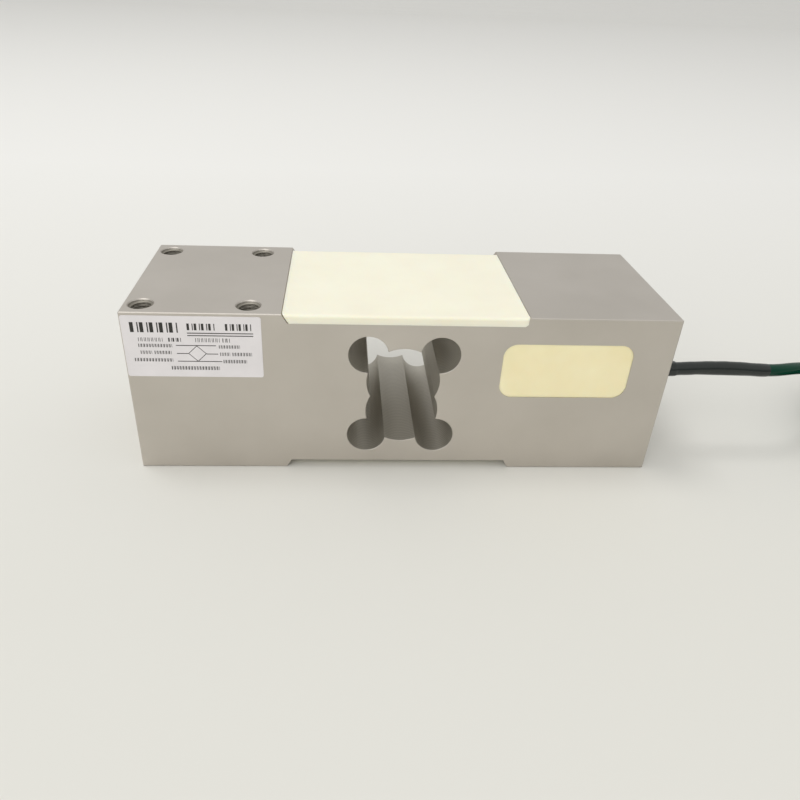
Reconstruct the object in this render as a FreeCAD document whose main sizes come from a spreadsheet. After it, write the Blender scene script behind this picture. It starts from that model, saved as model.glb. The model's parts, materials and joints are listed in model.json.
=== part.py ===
import FreeCAD, Part
import math
import os

import Sketcher
from FreeCAD import Placement, Rotation, Vector

# Single point load cell, in millimetres.
# The origin is the centre of the spring element's underside: +X runs along the beam
# towards the cable, -Y is the face with the filled side pocket, and +Z is up.

SIZES = (
    # Spring element
    ("block_length", 191.0, "beam, end face to end face"),
    ("block_width", 65.0, "beam, front face to back face"),
    ("block_height", 63.0, "beam, underside to top"),
    ("edge_break", 0.3, "chamfer on the outer edges"),
    ("end_block", 53.3, "full-height metal from each end face to the gauge recesses"),
    ("recess_depth", 3.3, "gauge recess, mouth to floor"),
    ("recess_slope", 2.0, "gauge recess, run of each sloping end wall"),
    # Flexure cavity
    ("thin_section", 4.6, "metal left between a relief bore and the recess floor"),
    ("relief_radius", 7.0, "corner relief bores"),
    ("relief_offset", 12.6, "relief bore axis from mid length"),
    ("window_radius", 13.0, "the two large window bores"),
    ("window_to_relief", 10.5, "height from a window bore axis up to its relief bores"),
    # Side pocket, cable bore and wire duct
    ("pocket_length", 46.4, "side pocket along the beam"),
    ("pocket_height", 21.4, "side pocket, bottom to top"),
    ("pocket_depth", 18.0, "side pocket, front face to floor"),
    ("pocket_corner", 5.0, "side pocket corner radius"),
    ("pocket_end_wall", 14.6, "metal between side pocket and cable end face"),
    ("pocket_base", 31.6, "underside of the beam to the bottom of the pocket"),
    ("duct_radius", 1.8, "wire duct drilled through both recesses and the pocket"),
    ("duct_setback", 9.0, "duct axis behind the front face"),
    ("duct_inset", 2.9, "duct axis inside the pocket's inner end"),
    ("bore_clearance", 0.15, "gap round the collar in the cable bore"),
    # Mounting holes
    ("hole_radius", 4.0, "M8 tapped holes, at the thread's root"),
    ("hole_depth", 20.0, "M8 tapped holes, full diameter"),
    ("hole_mouth_radius", 4.5, "countersink at each mouth"),
    ("hole_pitch_along", 36.0, "hole spacing along the beam"),
    ("hole_pitch_across", 51.0, "hole spacing across the beam"),
    ("hole_end_margin", 5.85, "outer hole axis from its end face"),
    # Strain gauges and their leads
    ("backing_length", 11.0, "gauge backing film along the beam"),
    ("backing_width", 6.6, "gauge backing film across the beam"),
    ("backing_thickness", 0.1, "gauge backing film with its adhesive"),
    ("foil_thickness", 0.08, "gauge foil"),
    ("grid_length", 5.0, "active grid along the beam"),
    ("grid_strand", 0.6, "width of one grid strand"),
    ("grid_pitch", 1.2, "strand to strand"),
    ("tab_size", 1.6, "solder tabs on the gauge"),
    ("tab_pitch", 3.2, "solder tab to solder tab"),
    ("tab_gap", 0.9, "grid to solder tabs"),
    ("lead_radius", 0.3, "enamelled gauge leads"),
    ("lead_pitch", 0.8, "lead to lead in the duct"),
    ("lane_pitch", 1.2, "lead to lead along the recess"),
    ("lane_first", 2.8, "nearest lead lane from mid width"),
    ("lead_on_tab", 0.5, "lead laid over its tab, short of the tab's middle"),
    ("lead_run_out", 2.2, "tab's middle to the lead's first bend"),
    ("lead_out_of_duct", 1.5, "straight lead inside the pocket, below the duct"),
    ("lead_above_board", 2.4, "lead's last bend in front of the board"),
    # Potting
    ("top_potting_drop", 0.25, "top silicone surface below the beam's top"),
    ("top_potting_round", 2.0, "rounding of the top silicone's front edge"),
    ("back_slope_reach", 4.6, "top silicone, start of the slope down from the back edge"),
    ("back_knee_reach", 1.6, "top silicone, steeper last part of that slope"),
    ("back_knee_drop", 1.0, "top silicone, fall to the steeper part"),
    ("bottom_potting_thickness", 2.0, "silicone film over the lower gauges"),
    ("bottom_potting_inset", 3.5, "bottom silicone back from the long edges"),
    # Trimming board
    ("board_clearance", 1.4, "board edge to pocket wall"),
    ("board_thickness", 1.0, "trimming board"),
    ("pad_pitch", 3.0, "gauge lead joints along the board"),
    ("pad_row_gap", 5.0, "gauge lead joint rows from the pocket's top and bottom"),
    ("core_pad_pitch", 2.7, "cable core joints up the board"),
    ("core_pad_setback", 19.0, "cable core joints from the pocket's cable end"),
    ("core_run_out", 3.0, "straight core at the jacket's end and before its joint"),
    ("core_above_board", 2.6, "core's last bend in front of the board"),
    ("core_bared", 1.0, "bared strands between the insulation and the joint"),
    ("joint_base", 2.0, "solder joint at the board, square"),
    ("joint_crest", 1.1, "flat crest of a solder joint, where its wire ends"),
    ("joint_height", 0.6, "solder joint"),
    ("chip_length", 3.2, "trim resistor"),
    ("chip_width", 1.6, "trim resistor"),
    ("chip_thickness", 0.7, "trim resistor"),
    ("chip_pitch", 2.9, "trim resistor to trim resistor"),
    ("chip_setback", 27.5, "trim resistors from the pocket's cable end"),
    # Label
    ("label_length", 46.2, "label along the beam"),
    ("label_height", 23.0, "label, bottom to top"),
    ("label_thickness", 0.15, "label film"),
    ("label_corner", 0.8, "label corner radius"),
    ("label_end_gap", 0.4, "label to the outer end face"),
    ("label_top_gap", 1.1, "label to the beam's top"),
    # Cable
    ("cable_radius", 2.4, "jacket"),
    ("cable_above_base", 4.4, "cable axis above the pocket's bottom"),
    ("cable_off_floor", 4.0, "cable axis in front of the pocket's floor"),
    ("jacket_in_pocket", 4.2, "jacket inside the pocket"),
    ("sleeve_wall", 0.3, "black shrink sleeve"),
    ("sleeve_reach", 46.0, "sleeve outside the end face"),
    ("collar_wall", 0.3, "second shrink collar over the sleeve"),
    ("collar_reach", 9.5, "collar outside the end face"),
    ("core_radius", 0.55, "insulated core"),
    ("strand_radius", 0.35, "bare tinned strands of a core"),
    ("core_ring", 1.35, "cores round the cable axis"),
    # Coil of the stored length
    ("coil_offset_x", 121.0, "coil axis beyond the end face"),
    ("coil_offset_y", 0.0, "coil axis from the cable axis, across the beam"),
    ("coil_mean_radius", 28.8, "middle of the turns"),
    ("coil_width", 22.5, "bundle of turns, inside to outside"),
    ("coil_height", 19.8, "bundle of turns, bottom to top"),
    ("tie_thickness", 0.6, "nylon ties round the coil"),
    ("tie_width", 4.0, "nylon ties round the coil"),
    # Stripped end
    ("end_sleeve_length", 14.0, "shrink sleeve over the stripped end"),
    ("end_sleeve_overlap", 8.0, "part of it on the jacket"),
    ("tinned_length", 5.0, "bare tinned tip of each core"),
    ("ground_gap", 0.05, "stripped cores above the surface they lie on"),
)

# Cable route, beyond the exit: along the beam from the end face, across from the cable
# axis, and height above the axis. It droops towards the coil and bends to the back.
LEAD_ROUTE = (
    (4.0, 0.0, 0.0),
    (28.2, 0.9, 0.9),
    (47.0, 0.1, -0.3),
    (60.5, 4.6, -1.2),
    (78.0, 16.0, -7.5),
    (91.5, 26.0, -18.5),
)
# Tail route round the outside of the coil: degrees from +X, distance from the coil
# axis, and height of the cable's axis above the ground.
TAIL_ROUTE = (
    (112.0, 37.0, 3.6),
    (92.0, 41.2, 2.9),
    (69.0, 43.8, 2.6),
    (45.0, 43.9, 2.75),
    (21.0, 43.9, 2.75),
    (-1.0, 44.6, 2.75),
)
# Stripped cores: colour, seat round the bundle and fan angle, both in degrees.
CORES = (
    ("red", -30, 27.0),
    ("black", 30, 16.0),
    ("white", 90, 6.0),
    ("green", 270, -4.0),
    ("blue", 150, -15.0),
    ("yellow", 210, -26.0),
)
# A stripped core's way: run, share of its fan angle, share of its way down.
CORE_RUNS = ((6.5, 0.0, 0.0), (9.5, 1.0, 0.45), (10.0, 0.72, 1.0), (9.0, 0.4, 1.0))
# Seats round the jacket's end of the cores in the pocket, from the lowest joint up.
POCKET_SEATS = (270, -30, 210, 30, 150, 90)
DRAIN_FAN = 1.0
GRID_STRANDS = 4
LEAD_LANES = 4
ARC_SHARE = 0.45
MITRED = 1
# Sides of the sections that stand for round ones
JACKET_SIDES = 12
LOOSE_WIRE_SIDES = 6
HIDDEN_WIRE_SIDES = 4
NEAR = 1e-4

doc = FreeCAD.newDocument("single_point_load_cell")
sheet = doc.addObject("Spreadsheet::Sheet", "Sizes")
nodes = {}


class Term:
    """A length worked out from the sheet: its expression and its value in millimetres."""

    def __init__(self, text, value):
        self.text = text
        self.value = value

    def join(self, sign, other, value):
        right = other.text if isinstance(other, Term) else repr(other)
        return Term(f"({self.text} {sign} {right})", value)

    def __add__(self, other):
        return self.join("+", other, self.value + number(other))

    def __sub__(self, other):
        return self.join("-", other, self.value - number(other))

    def __mul__(self, other):
        return self.join("*", other, self.value * number(other))

    def __truediv__(self, other):
        return self.join("/", other, self.value / number(other))

    def __neg__(self):
        return Term(f"(0 - {self.text})", -self.value)


def number(length):
    """The value in millimetres of a term or of a plain number."""
    return length.value if isinstance(length, Term) else float(length)


def bind(item, name, length):
    """Ties a property to the sheet, or sets a plain number."""
    if isinstance(length, Term):
        item.setExpression(name, length.text)
    else:
        item.setExpression(name, repr(float(length)))


class Sizes:
    """The sheet's cells as terms, by alias."""


def fill_sheet():
    for row, (alias, value, note) in enumerate(SIZES, start=1):
        sheet.set(f"A{row}", alias)
        sheet.set(f"B{row}", str(value))
        sheet.set(f"C{row}", note)
        sheet.setAlias(f"B{row}", alias)
    doc.recompute()
    sizes = Sizes()
    for alias, _, _ in SIZES:
        setattr(sizes, alias, Term(f"Sizes.{alias}", float(sheet.get(alias))))
    return sizes


s = fill_sheet()

# Places that several pieces share
half_length = s.block_length / 2
half_width = s.block_width / 2
mid_height = s.block_height / 2
recess_mouth = s.block_length - s.end_block * 2
top_floor = s.block_height - s.recess_depth
relief_rise = mid_height - s.recess_depth - s.thin_section - s.relief_radius
window_rise = relief_rise - s.window_to_relief
floor_half = recess_mouth / 2 - s.recess_slope
pocket_end = half_length - s.pocket_end_wall
pocket_start = pocket_end - s.pocket_length
pocket_mid_x = pocket_end - s.pocket_length / 2
pocket_mid_z = s.pocket_base + s.pocket_height / 2
pocket_top = s.pocket_base + s.pocket_height
pocket_floor = s.pocket_depth - half_width
board_face = pocket_floor - s.board_thickness
joint_crest_y = board_face - s.joint_height
duct_x = pocket_start + s.duct_inset
duct_y = s.duct_setback - half_width
cable_y = pocket_floor - s.cable_off_floor
cable_z = s.pocket_base + s.cable_above_base
sleeve_radius = s.cable_radius + s.sleeve_wall
collar_radius = sleeve_radius + s.collar_wall
hole_mid_x = half_length - s.hole_end_margin - s.hole_pitch_along / 2
gauge_thickness = s.backing_thickness + s.foil_thickness
tab_x = s.grid_length / 2 + s.tab_gap + s.tab_size / 2
coil_x = half_length + s.coil_offset_x
coil_y = cable_y + s.coil_offset_y
coil_mid_z = s.tie_thickness + s.coil_height / 2

# Pieces of which there are several
GAUGE_PLACES = (
    ("left", -s.relief_offset, (3, 2)),
    ("right", s.relief_offset, (1, 0)),
)
CHIPS = (
    ("span_resistor_plus", 2),
    ("zero_balance_resistor", 1),
    ("zero_drift_resistor", 0),
    ("input_resistor", -1),
    ("span_resistor_minus", -2),
)
COIL_TIES = (("coil_tie_near", 200), ("coil_tie_far", 20))


# Sketching helpers


def new_body(label):
    body = doc.addObject("PartDesign::Body", f"{label}_body")
    body.Label = label
    return body


def new_sketch(body, name, role, offset=0):
    """A sketch on one of the body's own origin planes, moved along the plane's normal."""
    plane = next(item for item in body.Origin.OriginFeatures if item.Role == role)
    sketch = body.newObject("Sketcher::SketchObject", f"{body.Label}_{name}_sketch")
    sketch.AttachmentSupport = (plane, "")
    sketch.MapMode = "FlatFace"
    bind(sketch, "AttachmentOffset.Base.z", offset)
    return sketch


def constrain(sketch, kind, *parts):
    """Adds a constraint whose last part is its size, tied to the sheet."""
    index = sketch.addConstraint(Sketcher.Constraint(kind, *parts[:-1], number(parts[-1])))
    if isinstance(parts[-1], Term):
        sketch.setExpression(f"Constraints[{index}]", parts[-1].text)


def pin(sketch, item, point, x, y):
    constrain(sketch, "DistanceX", -1, 1, item, point, x)
    constrain(sketch, "DistanceY", -1, 1, item, point, y)


def draw_circle(sketch, x, y, radius):
    centre = Vector(number(x), number(y), 0)
    item = sketch.addGeometry(Part.Circle(centre, Vector(0, 0, 1), number(radius)), False)
    pin(sketch, item, 3, x, y)
    constrain(sketch, "Radius", item, radius)


def draw_polygon(sketch, corners):
    spots = [Vector(number(x), number(y), 0) for x, y in corners]
    lines = [
        sketch.addGeometry(Part.LineSegment(spot, spots[(index + 1) % len(spots)]), False)
        for index, spot in enumerate(spots)
    ]
    for index, (line, (x, y)) in enumerate(zip(lines, corners)):
        sketch.addConstraint(Sketcher.Constraint("Coincident", lines[index - 1], 2, line, 1))
        pin(sketch, line, 1, x, y)


def draw_rectangle(sketch, mid_x, mid_y, length, height):
    left, right = mid_x - length / 2, mid_x + length / 2
    low, high = mid_y - height / 2, mid_y + height / 2
    draw_polygon(sketch, ((left, low), (right, low), (right, high), (left, high)))


def draw_rounded_rectangle(sketch, mid_x, mid_y, length, height, radius):
    """Four sides joined by four equal tangent corner arcs."""
    reach_x, reach_y = length / 2 - radius, height / 2 - radius
    size = number(radius)
    arcs = []
    for turn, (side_x, side_y) in enumerate(((1, 1), (-1, 1), (-1, -1), (1, -1))):
        x, y = mid_x + reach_x * side_x, mid_y + reach_y * side_y
        circle = Part.Circle(Vector(number(x), number(y), 0), Vector(0, 0, 1), size)
        start = turn * math.pi / 2
        arc = sketch.addGeometry(Part.ArcOfCircle(circle, start, start + math.pi / 2), False)
        pin(sketch, arc, 3, x, y)
        arcs.append(arc)
    constrain(sketch, "Radius", arcs[0], radius)
    for arc in arcs[1:]:
        sketch.addConstraint(Sketcher.Constraint("Equal", arcs[0], arc))
    for arc, after in zip(arcs, arcs[1:] + arcs[:1]):
        shape = [sketch.Geometry[item] for item in (arc, after)]
        side = Part.LineSegment(shape[0].EndPoint, shape[1].StartPoint)
        line = sketch.addGeometry(side, False)
        sketch.addConstraint(Sketcher.Constraint("Tangent", arc, 2, line, 1))
        sketch.addConstraint(Sketcher.Constraint("Tangent", line, 2, after, 1))


# Feature helpers


def pad(body, sketch, length, symmetric=False, reverse=False):
    item = body.newObject("PartDesign::Pad", f"{sketch.Name}_pad")
    item.Profile = sketch
    bind(item, "Length", length)
    item.SideType = "Symmetric" if symmetric else "One side"
    item.Reversed = reverse
    sketch.Visibility = False
    doc.recompute()
    return item


def pocket(body, sketch, length, symmetric=False, reverse=False):
    """Cuts a sketch into the body, and stops if nothing was cut."""
    before = body.Shape.Volume
    item = body.newObject("PartDesign::Pocket", f"{sketch.Name}_pocket")
    item.Profile = sketch
    bind(item, "Length", length)
    item.SideType = "Symmetric" if symmetric else "One side"
    item.Reversed = reverse
    sketch.Visibility = False
    doc.recompute()
    if body.Shape.Volume >= before:
        raise RuntimeError(f"{item.Name} cut nothing")
    return item


def repeat(body, feature, axis_sketch, steps):
    """Copies a feature along its sketch's axes: steps holds (axis name, reach, copies)."""
    item = body.newObject("PartDesign::LinearPattern", f"{feature.Name}_pattern")
    item.Originals = [feature]
    for suffix, (axis, reach, copies) in zip(("", "2"), steps):
        setattr(item, f"Direction{suffix}", (axis_sketch, [axis]))
        bind(item, f"Length{suffix}", reach)
        setattr(item, f"Occurrences{suffix}", copies)
    body.Tip = item
    doc.recompute()
    return item


def edge_at(feature, first_axis, first, second_axis, second):
    """The name of the feature's straight edge that lies at two coordinates."""
    for index, edge in enumerate(feature.Shape.Edges, start=1):
        ends = [vertex.Point for vertex in edge.Vertexes]
        if all(
            abs(end[first_axis] - first) < NEAR and abs(end[second_axis] - second) < NEAR
            for end in ends
        ):
            return f"Edge{index}"
    raise RuntimeError(f"{feature.Name} has no such edge")


def cut_from(label, body, tools):
    """The body's shape with other pieces cut out of it one by one, as one solid."""
    body.Label = f"{label}_blank"
    item = body
    for tool in tools:
        base = item
        item = doc.addObject("Part::Cut", f"{label}_cut")
        item.Base = base
        item.Tool = tool
    item.Label = label
    doc.recompute()
    if len(item.Shape.Solids) != 1:
        raise RuntimeError(f"{label} is {len(item.Shape.Solids)} solids")
    return item


def place(item, x, y, z):
    for axis, length in zip("xyz", (x, y, z)):
        bind(item, f"Placement.Base.{axis}", length)


def free_shape(label, shape, placement=None):
    """A piece whose form has no feature of its own, such as a wire along a route."""
    item = doc.addObject("Part::Feature", f"{label}_shape")
    item.Label = label
    item.Shape = shape
    if placement:
        item.Placement = placement
    return item


def keep(item):
    nodes[item.Label] = item
    return item


# Routes of cables and wires


def route_edges(points, name):
    """Straight runs joined by tangent arcs, each as large as its two runs allow."""
    edges = []
    radii = []
    start = points[0]
    for before, corner, after in zip(points, points[1:], points[2:]):
        into = (corner - before).normalize()
        out = (after - corner).normalize()
        half_turn = into.getAngle(out) / 2
        reach = ARC_SHARE * min((corner - before).Length, (after - corner).Length)
        radius = reach / math.tan(half_turn)
        radii.append(round(radius, 1))
        first, last = corner - into * reach, corner + out * reach
        inward = (out - into).normalize()
        middle = corner + inward * (radius / math.cos(half_turn) - radius)
        edges.append(Part.LineSegment(start, first).toShape())
        edges.append(Part.Arc(first, middle, last).toShape())
        start = last
    edges.append(Part.LineSegment(start, points[-1]).toShape())
    print(f"{name}: arc radii {radii} mm")
    return edges


def stretch_of(edges, start, end):
    """The stretch of a route between two distances along it."""
    kept = []
    passed = 0.0
    for edge in edges:
        low, high = max(start - passed, 0.0), min(end - passed, edge.Length)
        if high - low > NEAR:
            first = edge.getParameterByLength(low)
            last = edge.getParameterByLength(high)
            kept.append(edge.Curve.toShape(first, last))
        passed += edge.Length
    return kept


def corner_reach(radius, sides):
    """How far the corners of a wire's many-sided section stand from its axis."""
    return radius / math.cos(math.pi / sides)


def section(centre, along, radius, sides):
    """A wire's section, a regular polygon whose flats lie at the wire's radius."""
    turn = Rotation(Vector(0, 0, 1), along)
    reach = corner_reach(radius, sides)
    corners = []
    for step in range(sides + 1):
        angle = math.tau * (step + 0.5) / sides
        spoke = Vector(reach * math.cos(angle), reach * math.sin(angle), 0)
        corners.append(centre + turn.multVec(spoke))
    return Part.makePolygon(corners)


def rod(edges, radius, sides, transition=0):
    """A section carried along a route."""
    start = edges[0].valueAt(edges[0].FirstParameter)
    along = edges[0].tangentAt(edges[0].FirstParameter)
    ring = section(start, along, radius, sides)
    return Part.Wire(edges).makePipeShell([ring], True, False, transition)


def mitred_rod(points, radius):
    runs = [Part.LineSegment(a, b).toShape() for a, b in zip(points, points[1:])]
    return rod(runs, radius, HIDDEN_WIRE_SIDES, MITRED)


def straight_wire(start, step, radius, sides):
    """A prism from a start point along a vector."""
    return Part.Face(section(start, step, radius, sides)).extrude(step)


def pipe(edges, outside, inside):
    return rod(edges, outside, JACKET_SIDES).cut(rod(edges, inside, JACKET_SIDES))


# Spring element


def make_spring_element():
    body = new_body("spring_element")
    profile = new_sketch(body, "profile", "XZ_Plane")
    mouth = recess_mouth / 2
    under = (
        (-half_length, 0),
        (-mouth, 0),
        (-floor_half, s.recess_depth),
        (floor_half, s.recess_depth),
        (mouth, 0),
        (half_length, 0),
    )
    over = [(x, s.block_height - z) for x, z in reversed(under)]
    draw_polygon(profile, list(under) + over)
    pad(body, profile, s.block_width, symmetric=True)
    break_outer_edges(body)

    window = new_sketch(body, "window", "XZ_Plane")
    draw_circle(window, 0, mid_height - window_rise, s.window_radius)
    cut = pocket(body, window, s.block_width * 2, symmetric=True)
    repeat(body, cut, window, (("V_Axis", window_rise * 2, 2),))

    relief = new_sketch(body, "relief", "XZ_Plane")
    draw_circle(relief, -s.relief_offset, mid_height - relief_rise, s.relief_radius)
    cut = pocket(body, relief, s.block_width * 2, symmetric=True)
    steps = (("H_Axis", s.relief_offset * 2, 2), ("V_Axis", relief_rise * 2, 2))
    repeat(body, cut, relief, steps)

    side = new_sketch(body, "side_pocket", "XZ_Plane", half_width)
    outline = (pocket_mid_x, pocket_mid_z, s.pocket_length, s.pocket_height, s.pocket_corner)
    draw_rounded_rectangle(side, *outline)
    pocket(body, side, s.pocket_depth)

    duct = new_sketch(body, "duct", "XY_Plane")
    draw_circle(duct, duct_x, duct_y, s.duct_radius)
    pocket(body, duct, s.block_height, reverse=True)

    bore = new_sketch(body, "cable_bore", "YZ_Plane", half_length)
    draw_circle(bore, cable_y, cable_z, collar_radius + s.bore_clearance)
    pocket(body, bore, s.pocket_end_wall + s.pocket_corner)

    tap_holes(body, "load_end_hole", -hole_mid_x, s.block_height, reverse=False)
    tap_holes(body, "fixed_end_hole", hole_mid_x, 0, reverse=True)
    return keep(body)


def break_outer_edges(body):
    """A small chamfer along every edge where two outer faces of the beam meet."""
    limits = body.Shape.BoundBox
    faces = (
        (limits.XMin, limits.XMax),
        (limits.YMin, limits.YMax),
        (limits.ZMin, limits.ZMax),
    )
    names = []
    for index, edge in enumerate(body.Shape.Edges, start=1):
        ends = [vertex.Point for vertex in edge.Vertexes]
        on = sum(
            1
            for axis, pair in enumerate(faces)
            if any(all(abs(end[axis] - limit) < NEAR for end in ends) for limit in pair)
        )
        if on == 2:
            names.append(f"Edge{index}")
    block = body.Tip
    item = body.newObject("PartDesign::Chamfer", "outer_edge_break")
    item.Base = (block, names)
    bind(item, "Size", s.edge_break)
    doc.recompute()


def tap_holes(body, name, mid_x, level, reverse):
    """Four blind holes at the corners of a rectangle, bored at the thread's root."""
    sketch = new_sketch(body, name, "XY_Plane", level)
    corner_x = mid_x - s.hole_pitch_along / 2
    draw_circle(sketch, corner_x, -s.hole_pitch_across / 2, s.hole_radius)
    doc.recompute()
    hole = body.newObject("PartDesign::Hole", name)
    hole.Profile = sketch
    hole.Threaded = False
    hole.DepthType = "Dimension"
    hole.DrillPoint = "Angled"
    hole.HoleCutType = "Countersink"
    hole.HoleCutCustomValues = True
    hole.Reversed = reverse
    bind(hole, "Diameter", s.hole_radius * 2)
    bind(hole, "Depth", s.hole_depth)
    bind(hole, "HoleCutDiameter", s.hole_mouth_radius * 2)
    doc.recompute()
    steps = (("H_Axis", s.hole_pitch_along, 2), ("V_Axis", s.hole_pitch_across, 2))
    repeat(body, hole, sketch, steps)


# Strain gauges and leads


def make_gauge(label, mid_x, underneath):
    """Backing film with a folded foil grid and two solder tabs on its outer face."""
    body = new_body(label)
    film = new_sketch(body, "film", "XY_Plane")
    draw_rectangle(film, Term("0", 0), Term("0", 0), s.backing_length, s.backing_width)
    pad(body, film, s.backing_thickness)

    gaps = GRID_STRANDS - 1
    first = s.grid_pitch * (-gaps / 2)
    strand = new_sketch(body, "strand", "XY_Plane", s.backing_thickness)
    draw_rectangle(strand, Term("0", 0), first, s.grid_length, s.grid_strand)
    item = pad(body, strand, s.foil_thickness)
    repeat(body, item, strand, (("V_Axis", s.grid_pitch * gaps, GRID_STRANDS),))

    loop_x = s.grid_length / 2 - s.grid_strand / 2
    pairs = GRID_STRANDS // 2
    for side, start, copies in ((-1, 0.5, pairs), (1, 1.5, pairs - 1)):
        loop = new_sketch(body, f"loop_{copies}", "XY_Plane", s.backing_thickness)
        spot = first + s.grid_pitch * start
        draw_rectangle(loop, loop_x * side, spot, s.grid_strand, s.grid_pitch + s.grid_strand)
        item = pad(body, loop, s.foil_thickness)
        if copies > 1:
            reach = s.grid_pitch * 2 * (copies - 1)
            repeat(body, item, loop, (("V_Axis", reach, copies),))

    tab = new_sketch(body, "tab", "XY_Plane", s.backing_thickness)
    inner = s.grid_length / 2
    outer = tab_x + s.tab_size / 2
    low = -s.tab_pitch / 2 - s.tab_size / 2
    high = low + s.tab_size
    strand_low, strand_high = first - s.grid_strand / 2, first + s.grid_strand / 2
    neck = outer - s.tab_size
    corners = (
        (inner - s.grid_strand, strand_low),
        (neck, low),
        (outer, low),
        (outer, high),
        (neck, high),
        (inner - s.grid_strand, strand_high),
    )
    draw_polygon(tab, corners)
    item = pad(body, tab, s.foil_thickness)
    mirror = body.newObject("PartDesign::Mirrored", f"{label}_tab_mirror")
    mirror.Originals = [item]
    mirror.MirrorPlane = (tab, ["H_Axis"])
    body.Tip = mirror

    place(body, mid_x, 0, s.recess_depth if underneath else top_floor)
    if underneath:
        body.Placement.Rotation = Rotation(Vector(1, 0, 0), 180)
    doc.recompute()
    return keep(body)


def make_leads(label, gauge_x, underneath, lanes):
    """Two enamelled wires, from a gauge's tabs down the duct to the trimming board."""
    radius = number(s.lead_radius)
    side = -1 if underneath else 1
    floor = number(s.recess_depth if underneath else top_floor)
    level = floor + side * (number(gauge_thickness) + radius)
    turn = number(s.pocket_base if underneath else pocket_top)
    tabs = number(gauge_x) + number(tab_x)
    crest, well = number(joint_crest_y), number(duct_y)
    wires = []
    for step, lane in enumerate(lanes):
        tab_y = number(s.tab_pitch) * (step - 0.5)
        lane_y = -number(s.lane_first) - lane * number(s.lane_pitch)
        leave_x = tabs + number(s.lead_run_out) + step * number(s.lane_pitch)
        drop_x = number(duct_x) + ((LEAD_LANES - 1) / 2 - lane) * number(s.lead_pitch)
        pad_x = number(duct_x) + (LEAD_LANES - 1 - lane) * number(s.pad_pitch)
        pad_z = turn - side * number(s.pad_row_gap)
        points = [
            Vector(tabs - number(s.lead_on_tab), tab_y, level),
            Vector(leave_x, tab_y, level),
            Vector(leave_x + abs(lane_y - tab_y), lane_y, level),
            Vector(drop_x, lane_y, level),
            Vector(drop_x, well, level),
            Vector(drop_x, well, turn - side * number(s.lead_out_of_duct)),
            Vector(pad_x, number(board_face - s.lead_above_board), pad_z),
            Vector(pad_x, crest, pad_z),
        ]
        wires.append(mitred_rod(points, radius))
    return keep(free_shape(label, Part.makeCompound(wires)))


# Side pocket: trimming board, resistors, cores and joints


def make_board():
    body = new_body("trimming_board")
    sketch = new_sketch(body, "outline", "XZ_Plane", -pocket_floor)
    gap = s.board_clearance
    size = (s.pocket_length - gap * 2, s.pocket_height - gap * 2, s.pocket_corner - gap)
    draw_rounded_rectangle(sketch, pocket_mid_x, pocket_mid_z, *size)
    pad(body, sketch, s.board_thickness)
    return keep(body)


def make_chip(label, step):
    """A small trim resistor lying on the board."""
    body = new_body(label)
    sketch = new_sketch(body, "outline", "XZ_Plane", -board_face)
    mid_z = pocket_mid_z + s.chip_pitch * step
    draw_rectangle(sketch, pocket_end - s.chip_setback, mid_z, s.chip_length, s.chip_width)
    pad(body, sketch, s.chip_thickness)
    return keep(body)


def core_joint_places():
    """Where the six cable cores meet the board, from the lowest up."""
    x = number(pocket_end - s.core_pad_setback)
    mid = number(pocket_mid_z)
    middle = (len(POCKET_SEATS) - 1) / 2
    steps = range(len(POCKET_SEATS))
    return [(x, mid + (step - middle) * number(s.core_pad_pitch)) for step in steps]


def lead_joint_places():
    x = [number(duct_x) + step * number(s.pad_pitch) for step in range(LEAD_LANES)]
    low = number(s.pocket_base) + number(s.pad_row_gap)
    high = number(pocket_top) - number(s.pad_row_gap)
    return [(spot, level) for level in (low, high) for spot in x]


def ring_seat(degrees):
    """A core's place in the cable's cross section, across and up."""
    turn = math.radians(degrees)
    ring = number(s.core_ring)
    return ring * math.cos(turn), ring * math.sin(turn)


def make_pocket_cores():
    """Six insulated cores fanning out from the jacket's end to the board."""
    start_x = number(pocket_end - s.jacket_in_pocket)
    run_out, bared = number(s.core_run_out), number(s.core_bared)
    face, crest = number(board_face), number(joint_crest_y)
    strands = Vector(0, bared, 0)
    cores = []
    for (pad_x, pad_z), seat in zip(core_joint_places(), POCKET_SEATS):
        across, up = ring_seat(seat)
        y, z = number(cable_y) + across, number(cable_z) + up
        strip = Vector(pad_x, crest - bared, pad_z)
        points = [
            Vector(start_x, y, z),
            Vector(start_x - run_out, y, z),
            Vector(pad_x + run_out, face - run_out, pad_z),
            Vector(pad_x, face - number(s.core_above_board), pad_z),
            strip,
        ]
        insulated = mitred_rod(points, number(s.core_radius))
        bare = straight_wire(strip, strands, number(s.strand_radius), HIDDEN_WIRE_SIDES)
        cores.append(insulated.fuse(bare))
    return keep(free_shape("pocket_cores", Part.makeCompound(cores)))


def make_joints():
    """Solder joints on the board, each a low mound whose crest its wire ends on."""
    base, crest = number(s.joint_base) / 2, number(s.joint_crest) / 2
    low, high = number(joint_crest_y), number(board_face)
    mounds = []
    for x, z in core_joint_places() + lead_joint_places():
        near = (x - crest, low, z - crest, z - base, x - base)
        far = (x + crest, high, z + crest, z + base, x + base)
        mounds.append(Part.makeWedge(*near, *far))
    return keep(free_shape("solder_joints", Part.makeCompound(mounds)))


# Potting


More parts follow.
